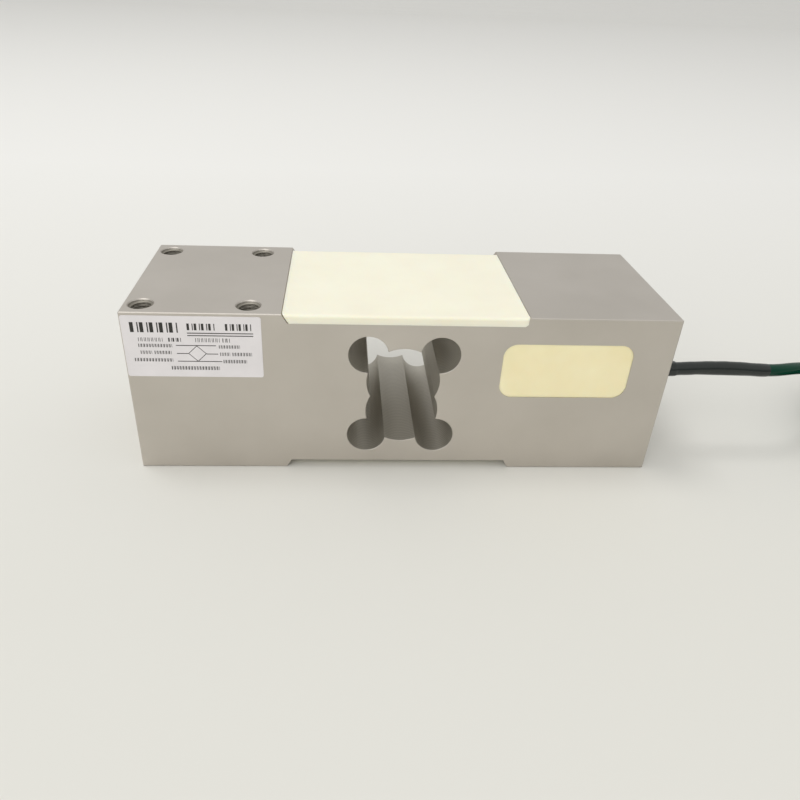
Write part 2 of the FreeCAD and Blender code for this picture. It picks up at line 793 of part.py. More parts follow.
def make_top_potting(tools):
    """Silicone poured level into the top recess; its back edge runs down to the floor."""
    body = new_body("top_potting")
    sketch = new_sketch(body, "side", "YZ_Plane")
    high = s.block_height - s.top_potting_drop
    corners = (
        (-half_width, top_floor),
        (half_width, top_floor),
        (half_width - s.back_knee_reach, high - s.back_knee_drop),
        (half_width - s.back_slope_reach, high),
        (-half_width, high),
    )
    draw_polygon(sketch, corners)
    fill = pad(body, sketch, recess_mouth, symmetric=True)
    front = edge_at(fill, 1, -number(half_width), 2, number(high))
    rounding = body.newObject("PartDesign::Fillet", "top_potting_front_round")
    rounding.Base = (fill, [front])
    bind(rounding, "Radius", s.top_potting_round)
    doc.recompute()
    for side in (-1, 1):
        trim = new_sketch(body, "left_wall" if side < 0 else "right_wall", "XZ_Plane")
        far = half_length
        wedge = (
            (floor_half * side, top_floor),
            (far * side, top_floor),
            (far * side, s.block_height),
            ((floor_half + s.recess_slope) * side, s.block_height),
        )
        draw_polygon(trim, wedge)
        pocket(body, trim, s.block_width * 2, symmetric=True)
    return keep(cut_from("top_potting", body, tools))


def make_bottom_potting(tools):
    """A thinner silicone film over the lower gauges, clear of the beam's long edges."""
    body = new_body("bottom_potting")
    sketch = new_sketch(body, "film", "XZ_Plane")
    low = s.recess_depth - s.bottom_potting_thickness
    wall = floor_half + s.recess_slope * s.bottom_potting_thickness / s.recess_depth
    corners = (
        (-wall, low),
        (wall, low),
        (floor_half, s.recess_depth),
        (-floor_half, s.recess_depth),
    )
    draw_polygon(sketch, corners)
    pad(body, sketch, s.block_width - s.bottom_potting_inset * 2, symmetric=True)
    return keep(cut_from("bottom_potting", body, tools))


def make_pocket_potting(tools):
    body = new_body("pocket_potting")
    sketch = new_sketch(body, "fill", "XZ_Plane", half_width)
    outline = (pocket_mid_x, pocket_mid_z, s.pocket_length, s.pocket_height, s.pocket_corner)
    draw_rounded_rectangle(sketch, *outline)
    pad(body, sketch, s.pocket_depth, reverse=True)
    return keep(cut_from("pocket_potting", body, tools))


# Label


def make_label():
    body = new_body("front_label")
    sketch = new_sketch(body, "film", "XZ_Plane", half_width)
    mid_x = s.label_end_gap + s.label_length / 2 - half_length
    mid_z = s.block_height - s.label_top_gap - s.label_height / 2
    outline = (mid_x, mid_z, s.label_length, s.label_height, s.label_corner)
    draw_rounded_rectangle(sketch, *outline)
    pad(body, sketch, s.label_thickness)
    return keep(body)


# Cable


def make_cable(coil):
    """The lead from the side pocket to the coil, with its two shrink sleeves."""
    exit_point = Vector(number(half_length), number(cable_y), number(cable_z))
    start = exit_point - Vector(number(s.pocket_end_wall + s.jacket_in_pocket), 0, 0)
    points = [start] + [exit_point + Vector(*step) for step in LEAD_ROUTE]
    edges = route_edges(points, "lead")
    radius = number(s.cable_radius)
    jacket = rod(edges, radius, JACKET_SIDES)
    compare_volume("lead", jacket, edges, radius)
    outside = number(s.pocket_end_wall + s.jacket_in_pocket)
    hidden = number(s.jacket_in_pocket)
    sleeve_end = outside + number(s.sleeve_reach)
    collar_end = outside + number(s.collar_reach)
    sleeve = pipe(stretch_of(edges, hidden, sleeve_end), number(sleeve_radius), radius)
    inner = number(sleeve_radius)
    collar = pipe(stretch_of(edges, hidden, collar_end), number(collar_radius), inner)
    cable = keep(free_shape("cable", jacket.cut(coil.Shape)))
    keep(free_shape("cable_sleeve", sleeve))
    keep(free_shape("cable_collar", collar))
    return cable


def compare_volume(name, shape, edges, radius):
    length = sum(edge.Length for edge in edges)
    area = JACKET_SIDES * radius**2 * math.tan(math.pi / JACKET_SIDES)
    expected = area * length
    print(f"{name}: {length:.1f} mm long, volume {shape.Volume / expected:.4f} of section x length")


def make_coil():
    """The outer shape of the stored turns, one ring."""
    body = new_body("cable_coil")
    sketch = new_sketch(body, "bundle", "XZ_Plane")
    draw_rectangle(sketch, s.coil_mean_radius, coil_mid_z, s.coil_width, s.coil_height)
    item = body.newObject("PartDesign::Revolution", "coil_revolution")
    item.Profile = sketch
    item.ReferenceAxis = (sketch, ["V_Axis"])
    item.Angle = 360
    place(body, coil_x, coil_y, 0)
    doc.recompute()
    return keep(body)


def make_tie(label, angle, coil):
    """A nylon strap round the bundle of turns, seated on it."""
    body = new_body(label)
    sketch = new_sketch(body, "strap", "XZ_Plane")
    wall = s.tie_thickness
    size = (s.coil_width + wall * 2, s.coil_height + wall * 2, wall)
    draw_rounded_rectangle(sketch, s.coil_mean_radius, coil_mid_z, *size)
    pad(body, sketch, s.tie_width, symmetric=True)
    body.Placement.Rotation = Rotation(Vector(0, 0, 1), angle)
    place(body, coil_x, coil_y, 0)
    return keep(cut_from(label, body, [coil]))


def make_tail(coil):
    """The last stretch of jacket, round the outside of the coil to the stripped end."""
    centre = Vector(number(coil_x), number(coil_y), 0)
    points = []
    for angle, reach, height in TAIL_ROUTE:
        turn = math.radians(angle)
        points.append(centre + Vector(reach * math.cos(turn), reach * math.sin(turn), height))
    edges = route_edges(points, "tail")
    radius = number(s.cable_radius)
    jacket = rod(edges, radius, JACKET_SIDES)
    compare_volume("tail", jacket, edges, radius)
    keep(free_shape("cable_tail", jacket.cut(coil.Shape)))
    return points[-1], (points[-1] - points[-2]).normalize()


def make_stripped_end(end, heading):
    """Shrink sleeve, six coloured cores with tinned tips, and the shield's drain wire."""
    frame = Placement(end, Rotation(Vector(1, 0, 0), heading))
    length, overlap = number(s.end_sleeve_length), number(s.end_sleeve_overlap)
    inside = corner_reach(number(s.cable_radius), JACKET_SIDES)
    outside = inside + number(s.sleeve_wall)
    back, along = Vector(-overlap, 0, 0), Vector(length, 0, 0)
    shell = straight_wire(back, along, outside, JACKET_SIDES)
    hollow = straight_wire(back, along, inside, JACKET_SIDES)
    keep(free_shape("end_sleeve", shell.cut(hollow), frame))
    tips = []
    for colour, seat, fan in CORES:
        route = core_route(Vector(0, *ring_seat(seat)), fan, end.z)
        edges = route_edges(route, f"core_{colour}")
        core = rod(edges, number(s.core_radius), LOOSE_WIRE_SIDES)
        keep(free_shape(f"core_{colour}", core, frame))
        tips.append(tip_after(route, number(s.strand_radius)))
    keep(free_shape("tinned_tips", Part.makeCompound(tips), frame))
    drain = core_route(Vector(0, 0, 0), DRAIN_FAN, end.z)
    edges = route_edges(drain, "drain")
    wire = rod(edges, number(s.strand_radius), LOOSE_WIRE_SIDES)
    keep(free_shape("drain_wire", wire, frame))


def core_route(start, fan, height):
    """A core's way out of the sleeve and down to the ground, in the sleeve's frame."""
    rest = number(s.core_radius) + number(s.ground_gap) - height
    points = [start]
    for run, share, down in CORE_RUNS:
        turn = math.radians(fan * share)
        level = start.z + (rest - start.z) * down
        step = Vector(run * math.cos(turn), run * math.sin(turn), level - points[-1].z)
        points.append(points[-1] + step)
    return points


def tip_after(route, radius):
    along = (route[-1] - route[-2]).normalize() * number(s.tinned_length)
    return straight_wire(route[-1], along, radius, LOOSE_WIRE_SIDES)


# Assembly


def build():
    make_spring_element()
    gauges, leads = {}, {}
    for level, underneath in (("top", False), ("bottom", True)):
        for side, mid_x, lanes in GAUGE_PLACES:
            name = f"{level}_{side}"
            gauges[name] = make_gauge(f"gauge_{name}", mid_x, underneath)
            leads[name] = make_leads(f"gauge_leads_{name}", mid_x, underneath, lanes)
    board = make_board()
    chips = [make_chip(label, step) for label, step in CHIPS]
    cores = make_pocket_cores()
    joints = make_joints()
    coil = make_coil()
    cable = make_cable(coil)
    for level, make in (("top", make_top_potting), ("bottom", make_bottom_potting)):
        names = [f"{level}_{side}" for side, _, _ in GAUGE_PLACES]
        make([pieces[name] for pieces in (gauges, leads) for name in names])
    make_pocket_potting([board, *chips, cores, joints, cable, *leads.values()])
    make_label()
    for label, angle in COIL_TIES:
        make_tie(label, angle, coil)
    end, heading = make_tail(coil)
    make_stripped_end(end, heading)


def check_and_export():
    """Stops on any failed object or shape, then writes one STEP file for each node."""
    doc.recompute()
    failed = [item.Label for item in doc.Objects if {"Invalid", "Error"} & set(item.State)]
    for label, item in nodes.items():
        if item.Shape.isNull() or not item.Shape.isValid() or not item.Shape.Solids:
            failed.append(label)
    if failed:
        raise RuntimeError(f"failed: {failed}")
    os.makedirs("parts", exist_ok=True)
    for label, item in nodes.items():
        item.Shape.exportStep(f"parts/{label}.step")
    print(f"{len(nodes)} nodes written")


build()
check_and_export()
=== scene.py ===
"""Single point load cell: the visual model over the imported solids.

Lengths are metres in the row frame. The origin is the centre of the beam's underside, +X
runs along the beam towards the cable, -Y is the face with the filled side pocket and +Z
is up.
"""

from __future__ import annotations

import json
import logging
import math
from dataclasses import dataclass
from enum import Enum
from functools import cache
from itertools import product
from typing import Iterable, Sequence

import bmesh
import bpy
from bmesh.types import BMEdge, BMesh, BMFace, BMVert
from mathutils import Matrix, Vector

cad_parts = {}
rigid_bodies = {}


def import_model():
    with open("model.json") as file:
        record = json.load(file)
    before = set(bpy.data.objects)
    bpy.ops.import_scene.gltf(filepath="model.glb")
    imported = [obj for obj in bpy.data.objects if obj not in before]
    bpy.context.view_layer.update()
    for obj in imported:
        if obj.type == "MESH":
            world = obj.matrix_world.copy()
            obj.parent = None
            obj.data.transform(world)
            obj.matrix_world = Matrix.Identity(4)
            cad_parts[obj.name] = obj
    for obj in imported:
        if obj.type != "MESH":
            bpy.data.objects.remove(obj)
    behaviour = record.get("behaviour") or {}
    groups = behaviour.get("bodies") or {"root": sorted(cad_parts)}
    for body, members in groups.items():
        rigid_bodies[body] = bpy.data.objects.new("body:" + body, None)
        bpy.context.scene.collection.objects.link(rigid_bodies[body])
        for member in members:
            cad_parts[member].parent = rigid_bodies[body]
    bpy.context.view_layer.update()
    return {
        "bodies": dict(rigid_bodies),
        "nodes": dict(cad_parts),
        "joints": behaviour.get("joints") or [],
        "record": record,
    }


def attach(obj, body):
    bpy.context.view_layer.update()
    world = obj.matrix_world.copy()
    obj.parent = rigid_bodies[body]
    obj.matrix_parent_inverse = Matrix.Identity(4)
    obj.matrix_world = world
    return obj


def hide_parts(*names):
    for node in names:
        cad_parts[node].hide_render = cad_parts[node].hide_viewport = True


BODY = "root"
MM = 0.001
QUARTER_TURN = math.radians(90.0)
# Share of a unit normal or of half a grid that counts as lying fully along an axis.
FULLY_ALONG = 0.999
# Spacing of the Wave texture's bands at a scale of 1.
WAVE_PITCH = math.tau / 20.0
COIL_AXIS = (0.2165, -0.0185)
LOG = logging.getLogger("load_cell")

Colour = tuple[float, float, float]
Point = tuple[float, float, float]
Pair = tuple[float, float]
Socket = bpy.types.NodeSocket
Piece = bpy.types.Object


class Slot(Enum):
    """The record's material slots. Only the stripped cores' materials are named after them here."""

    ALUMINIUM = "machined_aluminium"
    SILICONE = "silicone_white"
    IVORY_SILICONE = "silicone_ivory"
    LABEL = "label_film"
    JACKET = "cable_jacket"
    SHRINK = "shrink_black"
    TIE = "tie_white"
    RED = "red_core"
    BLACK = "black_core"
    GREEN = "green_core"
    WHITE = "white_core"
    BLUE = "blue_core"
    YELLOW = "yellow_core"
    TINNED = "tinned_copper"


# Material building


def dimmed(colour: Colour, share: float) -> Colour:
    """A colour at a share of its strength, up to white."""
    return tuple(min(part * share, 1.0) for part in colour)


class NodeTree:
    """A node tree, and the few kinds of node that the finishes and the sky need."""

    def __init__(self, tree: bpy.types.NodeTree) -> None:
        """Keeps the tree."""
        self.tree = tree

    def feed(self, target: Socket, value: Socket | float | Sequence[float]) -> None:
        """Links an input to a socket, or sets the input's own value.

        Args:
            target: The input.
            value: A socket, a number, a vector or a colour.
        """
        if isinstance(value, Socket):
            self.tree.links.new(value, target)
        else:
            target.default_value = (*value, 1.0) if target.type == "RGBA" else value

    def add(self, kind: str, *feeds: object, **values: object) -> bpy.types.Node:
        """Adds a node.

        Args:
            kind: The node's type, without the ShaderNode prefix.
            feeds: What goes into its first inputs.
            values: Its properties, or other inputs by name with underscores.

        Returns:
            The node.
        """
        node = self.tree.nodes.new(f"ShaderNode{kind}")
        for target, value in zip(node.inputs, feeds):
            self.feed(target, value)
        for name, value in values.items():
            if hasattr(node, name):
                setattr(node, name, value)
            else:
                self.feed(node.inputs[name.replace("_", " ")], value)
        return node

    def coordinates(self, space: str = "Object") -> Socket:
        """The piece's own coordinates, or those of another space."""
        return self.add("TexCoord").outputs[space]

    def axes(self, space: str = "Object") -> bpy.types.NodeOutputs:
        """X, Y and Z of the coordinates, by name."""
        return self.add("SeparateXYZ", self.coordinates(space)).outputs

    def noise(self, scale: float, detail: float) -> Socket:
        """Cloudy noise over the piece.

        Args:
            scale: Features to the metre.
            detail: Octaves.

        Returns:
            The noise, from 0 to 1.
        """
        node = self.add("TexNoise", self.coordinates(), Scale=scale, Detail=detail)
        return node.outputs["Fac"]

    def ramp(
        self, value: Socket, *stops: tuple[float, Colour], between: str = "LINEAR"
    ) -> Socket:
        """Turns a value into a colour.

        Args:
            value: The socket to read.
            stops: Places from 0 to 1, each with its colour.
            between: How the colours between two stops are found.

        Returns:
            The colour.
        """
        node = self.add("ValToRGB", value)
        node.color_ramp.interpolation = between
        elements = node.color_ramp.elements
        for index, (place, colour) in enumerate(stops):
            element = elements[index] if index < len(elements) else elements.new(place)
            element.position = place
            element.color = (*colour, 1.0)
        return node.outputs["Color"]

    def span(
        self, value: Socket, low: float, high: float, start: float = 0.0, end: float = 1.0
    ) -> Socket:
        """Maps a value's range to another.

        Args:
            value: The socket to read.
            low: Value given at the start.
            high: Value given at the end.
            start: Where the range read starts.
            end: Where it ends.

        Returns:
            The mapped value.
        """
        limits = {"From_Min": start, "From_Max": end, "To_Min": low, "To_Max": high}
        return self.add("MapRange", value, **limits).outputs["Result"]

    def math(self, operation: str, *values: Socket | float) -> Socket:
        """The result of a Math node's operation on values."""
        return self.add("Math", *values, operation=operation).outputs["Value"]

    def blend(self, share: Socket, first: Socket, second: Socket | Colour) -> Socket:
        """Blends two colours.

        Args:
            share: How much of the second is used.
            first: The first colour.
            second: The second colour.

        Returns:
            The blended colour.
        """
        node = self.add("Mix", share, data_type="RGBA")
        ends = [socket for socket in node.inputs if socket.type == "RGBA"]
        for target, colour in zip(ends, (first, second)):
            self.feed(target, colour)
        return next(socket for socket in node.outputs if socket.type == "RGBA")


class Shader(NodeTree):
    """One procedural material."""

    def __init__(self, name: str, **values: float | Colour) -> None:
        """Makes the material.

        Args:
            name: Its name.
            values: What its surface's inputs get, by name with underscores.
        """
        self.material = bpy.data.materials.new(name)
        self.material.use_nodes = True
        super().__init__(self.material.node_tree)
        self.surface = self.tree.nodes["Principled BSDF"]
        self.shade(**values)

    def shade(self, **values: Socket | float | Colour) -> None:
        """Feeds the surface's inputs, by name with underscores."""
        for name, value in values.items():
            self.feed(self.surface.inputs[name.replace("_", " ")], value)

    def bump(self, height: Socket, depth: float, strength: float) -> None:
        """Lets a height stand out of the surface, over any bump already there.

        Args:
            height: The height, from 0 to 1.
            depth: The height of 1, in metres.
            strength: How strongly it shows.
        """
        node = self.add("Bump", Strength=strength, Distance=depth, Height=height)
        normal = self.surface.inputs["Normal"]
        for link in normal.links:
            self.feed(node.inputs["Normal"], link.from_socket)
        self.feed(normal, node.outputs["Normal"])


@dataclass(frozen=True)
class BlastedAluminium:
    """Milled aluminium, bead-blasted outside, with feed rings inside and a painted shade that
    darkens the tapped holes.
    """

    colour: Colour = (0.56, 0.523, 0.472)
    worn: Colour = (0.605, 0.566, 0.515)
    bored: Colour = (0.585, 0.555, 0.49)
    # Painted shade: a darker colour for the tapped holes, which lie in shade.
    tapped_hole_shade: Colour = (0.33, 0.308, 0.265)
    tapped_from: float = 0.046
    bored_roughness: float = 0.58
    roughness: float = 0.46
    feed_pitch: float = 0.0011
    feed_shade: float = 0.84
    middle: Point = (0.0, 0.0, 0.0315)
    inner: Point = (0.0949, 0.0321, 0.0311)

    def inside(self, shader: Shader) -> Socket:
        """A mask for walls inside the beam: the cavity, bores and recesses.

        Args:
            shader: The material.

        Returns:
            A socket that is 1 on those walls.
        """
        centred = shader.add(
            "VectorMath", shader.coordinates(), self.middle, operation="SUBTRACT"
        ).outputs["Vector"]
        split = shader.add("SeparateXYZ", centred).outputs
        mask = None
        for axis, reach in zip("XYZ", self.inner):
            within = shader.math("LESS_THAN", shader.math("ABSOLUTE", split[axis]), reach)
            mask = shader.math("MULTIPLY", mask, within) if mask else within
        return mask

    def past_recess(self, shader: Shader) -> Socket:
        """A mask that is 1 over the mounting ends, where the threads are cut and the painted shade
        darkens them.
        """
        distance = shader.math("ABSOLUTE", shader.axes()["X"])
        return shader.math("GREATER_THAN", distance, self.tapped_from)

    def make(self) -> bpy.types.Material:
        """Builds the finish.

        Returns:
            Its material.
        """
        shader = Shader("blasted_aluminium", Metallic=1.0)
        patches = shader.noise(scale=38.0, detail=5.0)
        fine = shader.noise(scale=5200.0, detail=3.0)
        blasted = shader.ramp(patches, (0.3, self.colour), (0.72, self.worn))
        inside = self.inside(shader)
        rings = shader.add(
            "TexWave", shader.coordinates(), wave_type="BANDS", bands_direction="Y",
            Scale=WAVE_PITCH / self.feed_pitch, Distortion=1.4, Detail=3.0,
            Detail_Scale=2.4, Detail_Roughness=0.6,
        ).outputs["Fac"]
        shade = dimmed(self.bored, self.feed_shade)
        bored = shader.ramp(rings, (0.1, shade), (0.8, self.bored))
        # Painted shade: the tapped holes take the darker colour instead of the bored one.
        tapped_hole_shade = shader.math("MULTIPLY", inside, self.past_recess(shader))
        inner = shader.blend(tapped_hole_shade, bored, self.tapped_hole_shade)
        sheen = shader.span(fine, low=-0.06, high=0.08)
        base = shader.span(inside, self.roughness, self.bored_roughness)
        shader.shade(
            Base_Color=shader.blend(inside, blasted, inner),
            Roughness=shader.math("ADD", base, sheen),
        )
        shader.bump(fine, depth=0.00003, strength=0.35)
        shader.bump(shader.math("MULTIPLY", rings, inside), depth=0.00006, strength=0.8)
        return shader.material


@dataclass(frozen=True)
class CastSilicone:
    """Poured silicone: cloudy, soft and a little uneven."""

    name: str
    colour: Colour
    cloud: Colour
    roughness: float = 0.42
    dust: float = 0.93

    def make(self) -> bpy.types.Material:
        """Builds the finish.

        Returns:
            Its material.
        """
        shader = Shader(
            self.name, Subsurface_Weight=0.25, Subsurface_Radius=(0.0022, 0.0016, 0.0009),
            Subsurface_Scale=1.0, Specular_IOR_Level=0.35, IOR=1.41,
        )
        clouds = shader.noise(scale=55.0, detail=3.0)
        specks = shader.noise(scale=900.0, detail=2.0)
        base = shader.ramp(clouds, (0.32, self.cloud), (0.7, self.colour))
        dusty = shader.span(specks, low=0.0, high=0.35, start=0.7, end=0.8)
        shader.shade(
            Base_Color=shader.blend(dusty, base, dimmed(self.colour, self.dust)),
            Roughness=shader.span(clouds, self.roughness - 0.05, self.roughness + 0.08),
        )
        shader.bump(shader.noise(scale=70.0, detail=2.0), depth=0.0012, strength=0.12)
        return shader.material


@dataclass(frozen=True)
class Plastic:
    """Moulded or extruded plastic with a fine skin."""

    name: str
    colour: Colour
    roughness: float = 0.35
    skin: float = 1800.0
    specular: float = 0.5
    vary: float = 0.12

    def make(self) -> bpy.types.Material:
        """Builds the finish.

        Returns:
            Its material.
        """
        shader = Shader(self.name, IOR=1.5, Specular_IOR_Level=self.specular)
        tone = shader.noise(scale=120.0, detail=4.0)
        dark, light = (dimmed(self.colour, 1.0 + way * self.vary) for way in (-1.0, 1.0))
        shader.shade(
            Base_Color=shader.ramp(tone, (0.3, dark), (0.7, light)),
            Roughness=shader.span(tone, self.roughness - 0.05, self.roughness + 0.07),
        )
        shader.bump(shader.noise(self.skin, detail=3.0), depth=0.00003, strength=0.3)
        return shader.material


@dataclass(frozen=True)
class BandedWires:
    """Insulated wires that lie in a row, each in its own colour."""

    name: str
    low: float
    pitch: float
    colours: tuple[Colour, ...]
    roughness: float = 0.3

    def make(self) -> bpy.types.Material:
        """Builds the finish.

        Returns:
            Its material.
        """
        shader = Shader(self.name)
        count = len(self.colours)
        share = shader.span(
            shader.axes()["Z"], 0.0, 1.0, self.low, self.low + self.pitch * count
        )
        stops = [(index / count, colour) for index, colour in enumerate(self.colours)]
        skin = shader.noise(scale=1500.0, detail=3.0)
        shader.shade(
            Base_Color=shader.ramp(share, *stops, between="CONSTANT"),
            Roughness=shader.span(skin, self.roughness - 0.04, self.roughness + 0.06),
        )
        shader.bump(skin, depth=0.00002, strength=0.2)
        return shader.material


@dataclass(frozen=True)
class FoilGauge:
    """Amber backing film with a bright foil grid on its outer face."""

    film: Colour = (0.60, 0.30, 0.08)
    foil: Colour = (0.62, 0.52, 0.42)
    film_shade: float = 0.85
    middle: float = 0.0315
    film_reach: float = 0.02831

    def make(self) -> bpy.types.Material:
        """Builds the finish.

        Returns:
            Its material.
        """
        shader = Shader("foil_gauge")
        above = shader.math("SUBTRACT", shader.axes()["Z"], self.middle)
        is_foil = shader.math("GREATER_THAN", shader.math("ABSOLUTE", above), self.film_reach)
        grain = shader.noise(scale=2200.0, detail=3.0)
        dark = dimmed(self.film, self.film_shade)
        film = shader.ramp(grain, (0.3, dark), (0.7, self.film))
        shader.shade(
            Base_Color=shader.blend(is_foil, film, self.foil), Metallic=is_foil,
            Roughness=shader.span(grain, low=0.22, high=0.38),
        )
        shader.bump(grain, depth=0.00001, strength=0.2)
        return shader.material


@dataclass(frozen=True)
class Bright:
    """Bright metal: solder or tinned strands."""

    name: str
    colour: Colour
    roughness: float = 0.22
    rougher: float = 0.2
    dull: float = 0.82

    def make(self) -> bpy.types.Material:
        """Builds the finish.

        Returns:
            Its material.
        """
        shader = Shader(self.name, Metallic=1.0)
        tarnish = shader.noise(scale=700.0, detail=4.0)
        dull = dimmed(self.colour, self.dull)
        shader.shade(
            Base_Color=shader.ramp(tarnish, (0.35, dull), (0.7, self.colour)),
            Roughness=shader.span(tarnish, self.roughness, self.roughness + self.rougher),
        )
        shader.bump(tarnish, depth=0.00002, strength=0.2)
        return shader.material


Finish = BlastedAluminium | CastSilicone | Plastic | BandedWires | FoilGauge | Bright


@cache
def material_of(finish: Finish) -> bpy.types.Material:
    """The one material that stands for a finish."""
    return finish.make()


ALUMINIUM = BlastedAluminium()
WHITE_SILICONE = CastSilicone("white_silicone", (0.895, 0.87, 0.715), (0.875, 0.835, 0.68))
IVORY_SILICONE = CastSilicone("ivory_silicone", (0.93, 0.85, 0.565), (0.89, 0.79, 0.49))
GREEN_JACKET = Plastic("green_jacket", (0.001, 0.038, 0.020), 0.24, specular=0.2)
BLACK_SHRINK = Plastic("black_shrink", (0.010, 0.014, 0.012), 0.13, 600.0, 0.52)
NYLON = Plastic("natural_nylon", (0.74, 0.72, 0.66), 0.4)
LABEL_FILM = Plastic("label_film", (0.76, 0.73, 0.735), 0.36, vary=0.03)
LABEL_INK = Plastic("label_ink", (0.018, 0.016, 0.014), 0.45, vary=0.3)
GAUGE_FILM = FoilGauge()
LEAD_ENAMEL = Plastic("lead_enamel", (0.35, 0.08, 0.03), 0.25)
LAMINATE = Plastic("board_laminate", (0.03, 0.16, 0.07), 0.3)
CHIP_BLACK = Plastic("chip_black", (0.02, 0.02, 0.022), 0.5)
SOLDER = Bright("solder", (0.70, 0.71, 0.73))
TINNED = Bright("tinned_copper", (0.66, 0.64, 0.60), 0.28)
CORE_COLOURS: dict[str, Colour] = {
    "green": (0.012, 0.22, 0.05),
    "red": (0.50, 0.012, 0.012),
    "yellow": (0.70, 0.48, 0.02),
    "black": (0.012, 0.012, 0.012),
    "blue": (0.012, 0.06, 0.40),
    "white": (0.75, 0.75, 0.72),
}
POCKET_CORES = BandedWires("pocket_cores", 0.0342, 0.0027, tuple(CORE_COLOURS.values()))


# Mesh building


def add_object(name: str, data: bpy.types.ID) -> Piece:
    """Puts data into the scene.

    Args:
        name: The new object's name.
        data: Its mesh, curve, lamp or camera.

    Returns:
        The object.
    """
    made = bpy.data.objects.new(name, data)
    bpy.context.scene.collection.objects.link(made)
    return made


def add_mesh(mesh: BMesh, name: str, material: bpy.types.Material) -> Piece:
    """Puts a bmesh into the scene.

    Args:
        mesh: The mesh. It is freed.
        name: The new object's name.
        material: Its material.

    Returns:
        The object.
    """
    data = bpy.data.meshes.new(name)
    mesh.to_mesh(data)
    mesh.free()
    data.materials.append(material)
    return add_object(name, data)


def finish_piece(
    mesh: BMesh, name: str, finish: Finish, crease: float = 50.0
) -> Piece:
    """Turns a bmesh into a piece that rides on the load cell.

    Args:
        mesh: The mesh, in the row frame. It is freed.
        name: The piece's name.
        finish: Its finish.
        crease: Edges sharper than this many degrees stay sharp.

    Returns:
        The piece.
    """
    piece = add_mesh(mesh, name, material_of(finish))
    piece.data.shade_smooth()
    piece.data.set_sharp_from_angle(angle=math.radians(crease))
    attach(piece, BODY)
    LOG.info("%s: %d faces", name, len(piece.data.polygons))
    return piece


def moved(mesh: BMesh, verts: Iterable[BMVert], matrix: Matrix) -> None:
    """Moves vertices by a matrix."""
    bmesh.ops.transform(mesh, matrix=matrix, verts=list(verts))


def round_off(
    mesh: BMesh, geom: Iterable[BMEdge | BMVert], offset: float, segments: int,
    affect: str = "EDGES", clamp: bool = False,
) -> None:
    """Rounds edges or corners.

    Args:
        mesh: The mesh.
        geom: What to round.
        offset: How far the rounding reaches.
        segments: Its steps.
        affect: Whether EDGES or VERTICES are rounded.
        clamp: Keeps neighbouring roundings from overlapping.
    """
    bmesh.ops.bevel(
        mesh, geom=list(geom), offset=offset, segments=segments, profile=0.5,
        affect=affect, material=-1, clamp_overlap=clamp,
    )


def add_block(
    mesh: BMesh, low: Sequence[float], high: Sequence[float], bevel: float = 0.0, segments: int = 2
) -> None:
    """Adds a block between two corners, with rounded edges if asked.

    Args:
        mesh: The mesh to add to.
        low: Lowest corner.
        high: Highest corner.
        bevel: Rounding of its edges.
        segments: Steps of that rounding.
    """
    size = Vector(high) - Vector(low)
    centre = (Vector(high) + Vector(low)) / 2
    made = bmesh.ops.create_cube(mesh, size=1.0)["verts"]
    moved(mesh, made, Matrix.Translation(centre) @ Matrix.Diagonal((*size, 1.0)))
    if bevel:
        round_off(mesh, {edge for vert in made for edge in vert.link_edges}, bevel, segments)


class Line:
    """A smooth line in space that tubes and strands follow."""

    heading_reach = 0.0006

    def __init__(self, points: Sequence[Vector]) -> None:
        """Keeps the points, and how far along each one lies.

        Args:
            points: The line's points.
        """
        self.points = list(points)
        self.reach = [0.0]
        for before, after in zip(self.points, self.points[1:]):
            self.reach.append(self.reach[-1] + (after - before).length)

    @property
    def length(self) -> float:
        """The line's whole length."""
        return self.reach[-1]

    def at(self, distance: float) -> Vector:
        """The point at a distance along the line.

        Args:
            distance: The distance. Beyond an end, that end is given.

        Returns:
            The point.
        """
        distance = min(max(distance, 0.0), self.length)
        for index, reach in enumerate(self.reach[1:]):
            if reach >= distance:
                run = reach - self.reach[index]
                share = (distance - self.reach[index]) / run if run else 0.0
                return self.points[index].lerp(self.points[index + 1], share)
        return self.points[-1].copy()

    def heading(self, distance: float) -> Vector:
        """The direction of the line at a distance along it."""
        ahead = self.at(distance + self.heading_reach)
        return (ahead - self.at(distance - self.heading_reach)).normalized()

    def frames(self, start: float, end: float, steps: int) -> list[Matrix]:
        """Frames along the line that don't twist, with Z along it.

        Args:
            start: Distance of the first frame.
            end: Distance of the last.
            steps: How many spans lie between them.

        Returns:
            A matrix for each frame.
        """
        found = []
        side = self.heading(start).orthogonal().normalized()
        for step in range(steps + 1):
            distance = start + (end - start) * step / steps
            along = self.heading(distance)
            side = (side - along * side.dot(along)).normalized()
            frame = Matrix((side, along.cross(side), along)).transposed().to_4x4()
            frame.translation = self.at(distance)
            found.append(frame)
        return found


def add_tube(
    mesh: BMesh, frames: Sequence[Matrix], radii: Sequence[float], sides: int, hollow: bool = False
) -> None:
    """Adds a closed tube whose rings follow frames.

    Args:
        mesh: The mesh to add to.
        frames: A frame for each ring, with Z along the tube.
        radii: A radius for each ring.
        sides: Corners of a ring.
        hollow: Joins the last ring to the first, where the rings go out along the
            outside and come back along the inside. Otherwise both ends are capped.
    """
    places = [frame @ Matrix.Diagonal((r, r, r, 1.0)) for frame, r in zip(frames, radii)]
    ring = bmesh.ops.create_circle(mesh, segments=sides, radius=1.0)["verts"]
    rim = list({edge for vert in ring for edge in vert.link_edges})
    first = list(rim)
    moved(mesh, ring, places[0])
    skin = []
    for before, place in zip(places, places[1:]):
        grown = bmesh.ops.extrude_edge_only(mesh, edges=rim)["geom"]
        rim = [item for item in grown if isinstance(item, BMEdge) and item.is_boundary]
        skin += [item for item in grown if isinstance(item, BMFace)]
        ring = [item for item in grown if isinstance(item, BMVert)]
        moved(mesh, ring, place @ before.inverted())
    if hollow:
        skin += bmesh.ops.bridge_loops(mesh, edges=first + rim)["faces"]
    else:
        for loop in (first, rim):
            skin += bmesh.ops.holes_fill(mesh, edges=loop, sides=0)["faces"]
    bmesh.ops.recalc_face_normals(mesh, faces=skin)


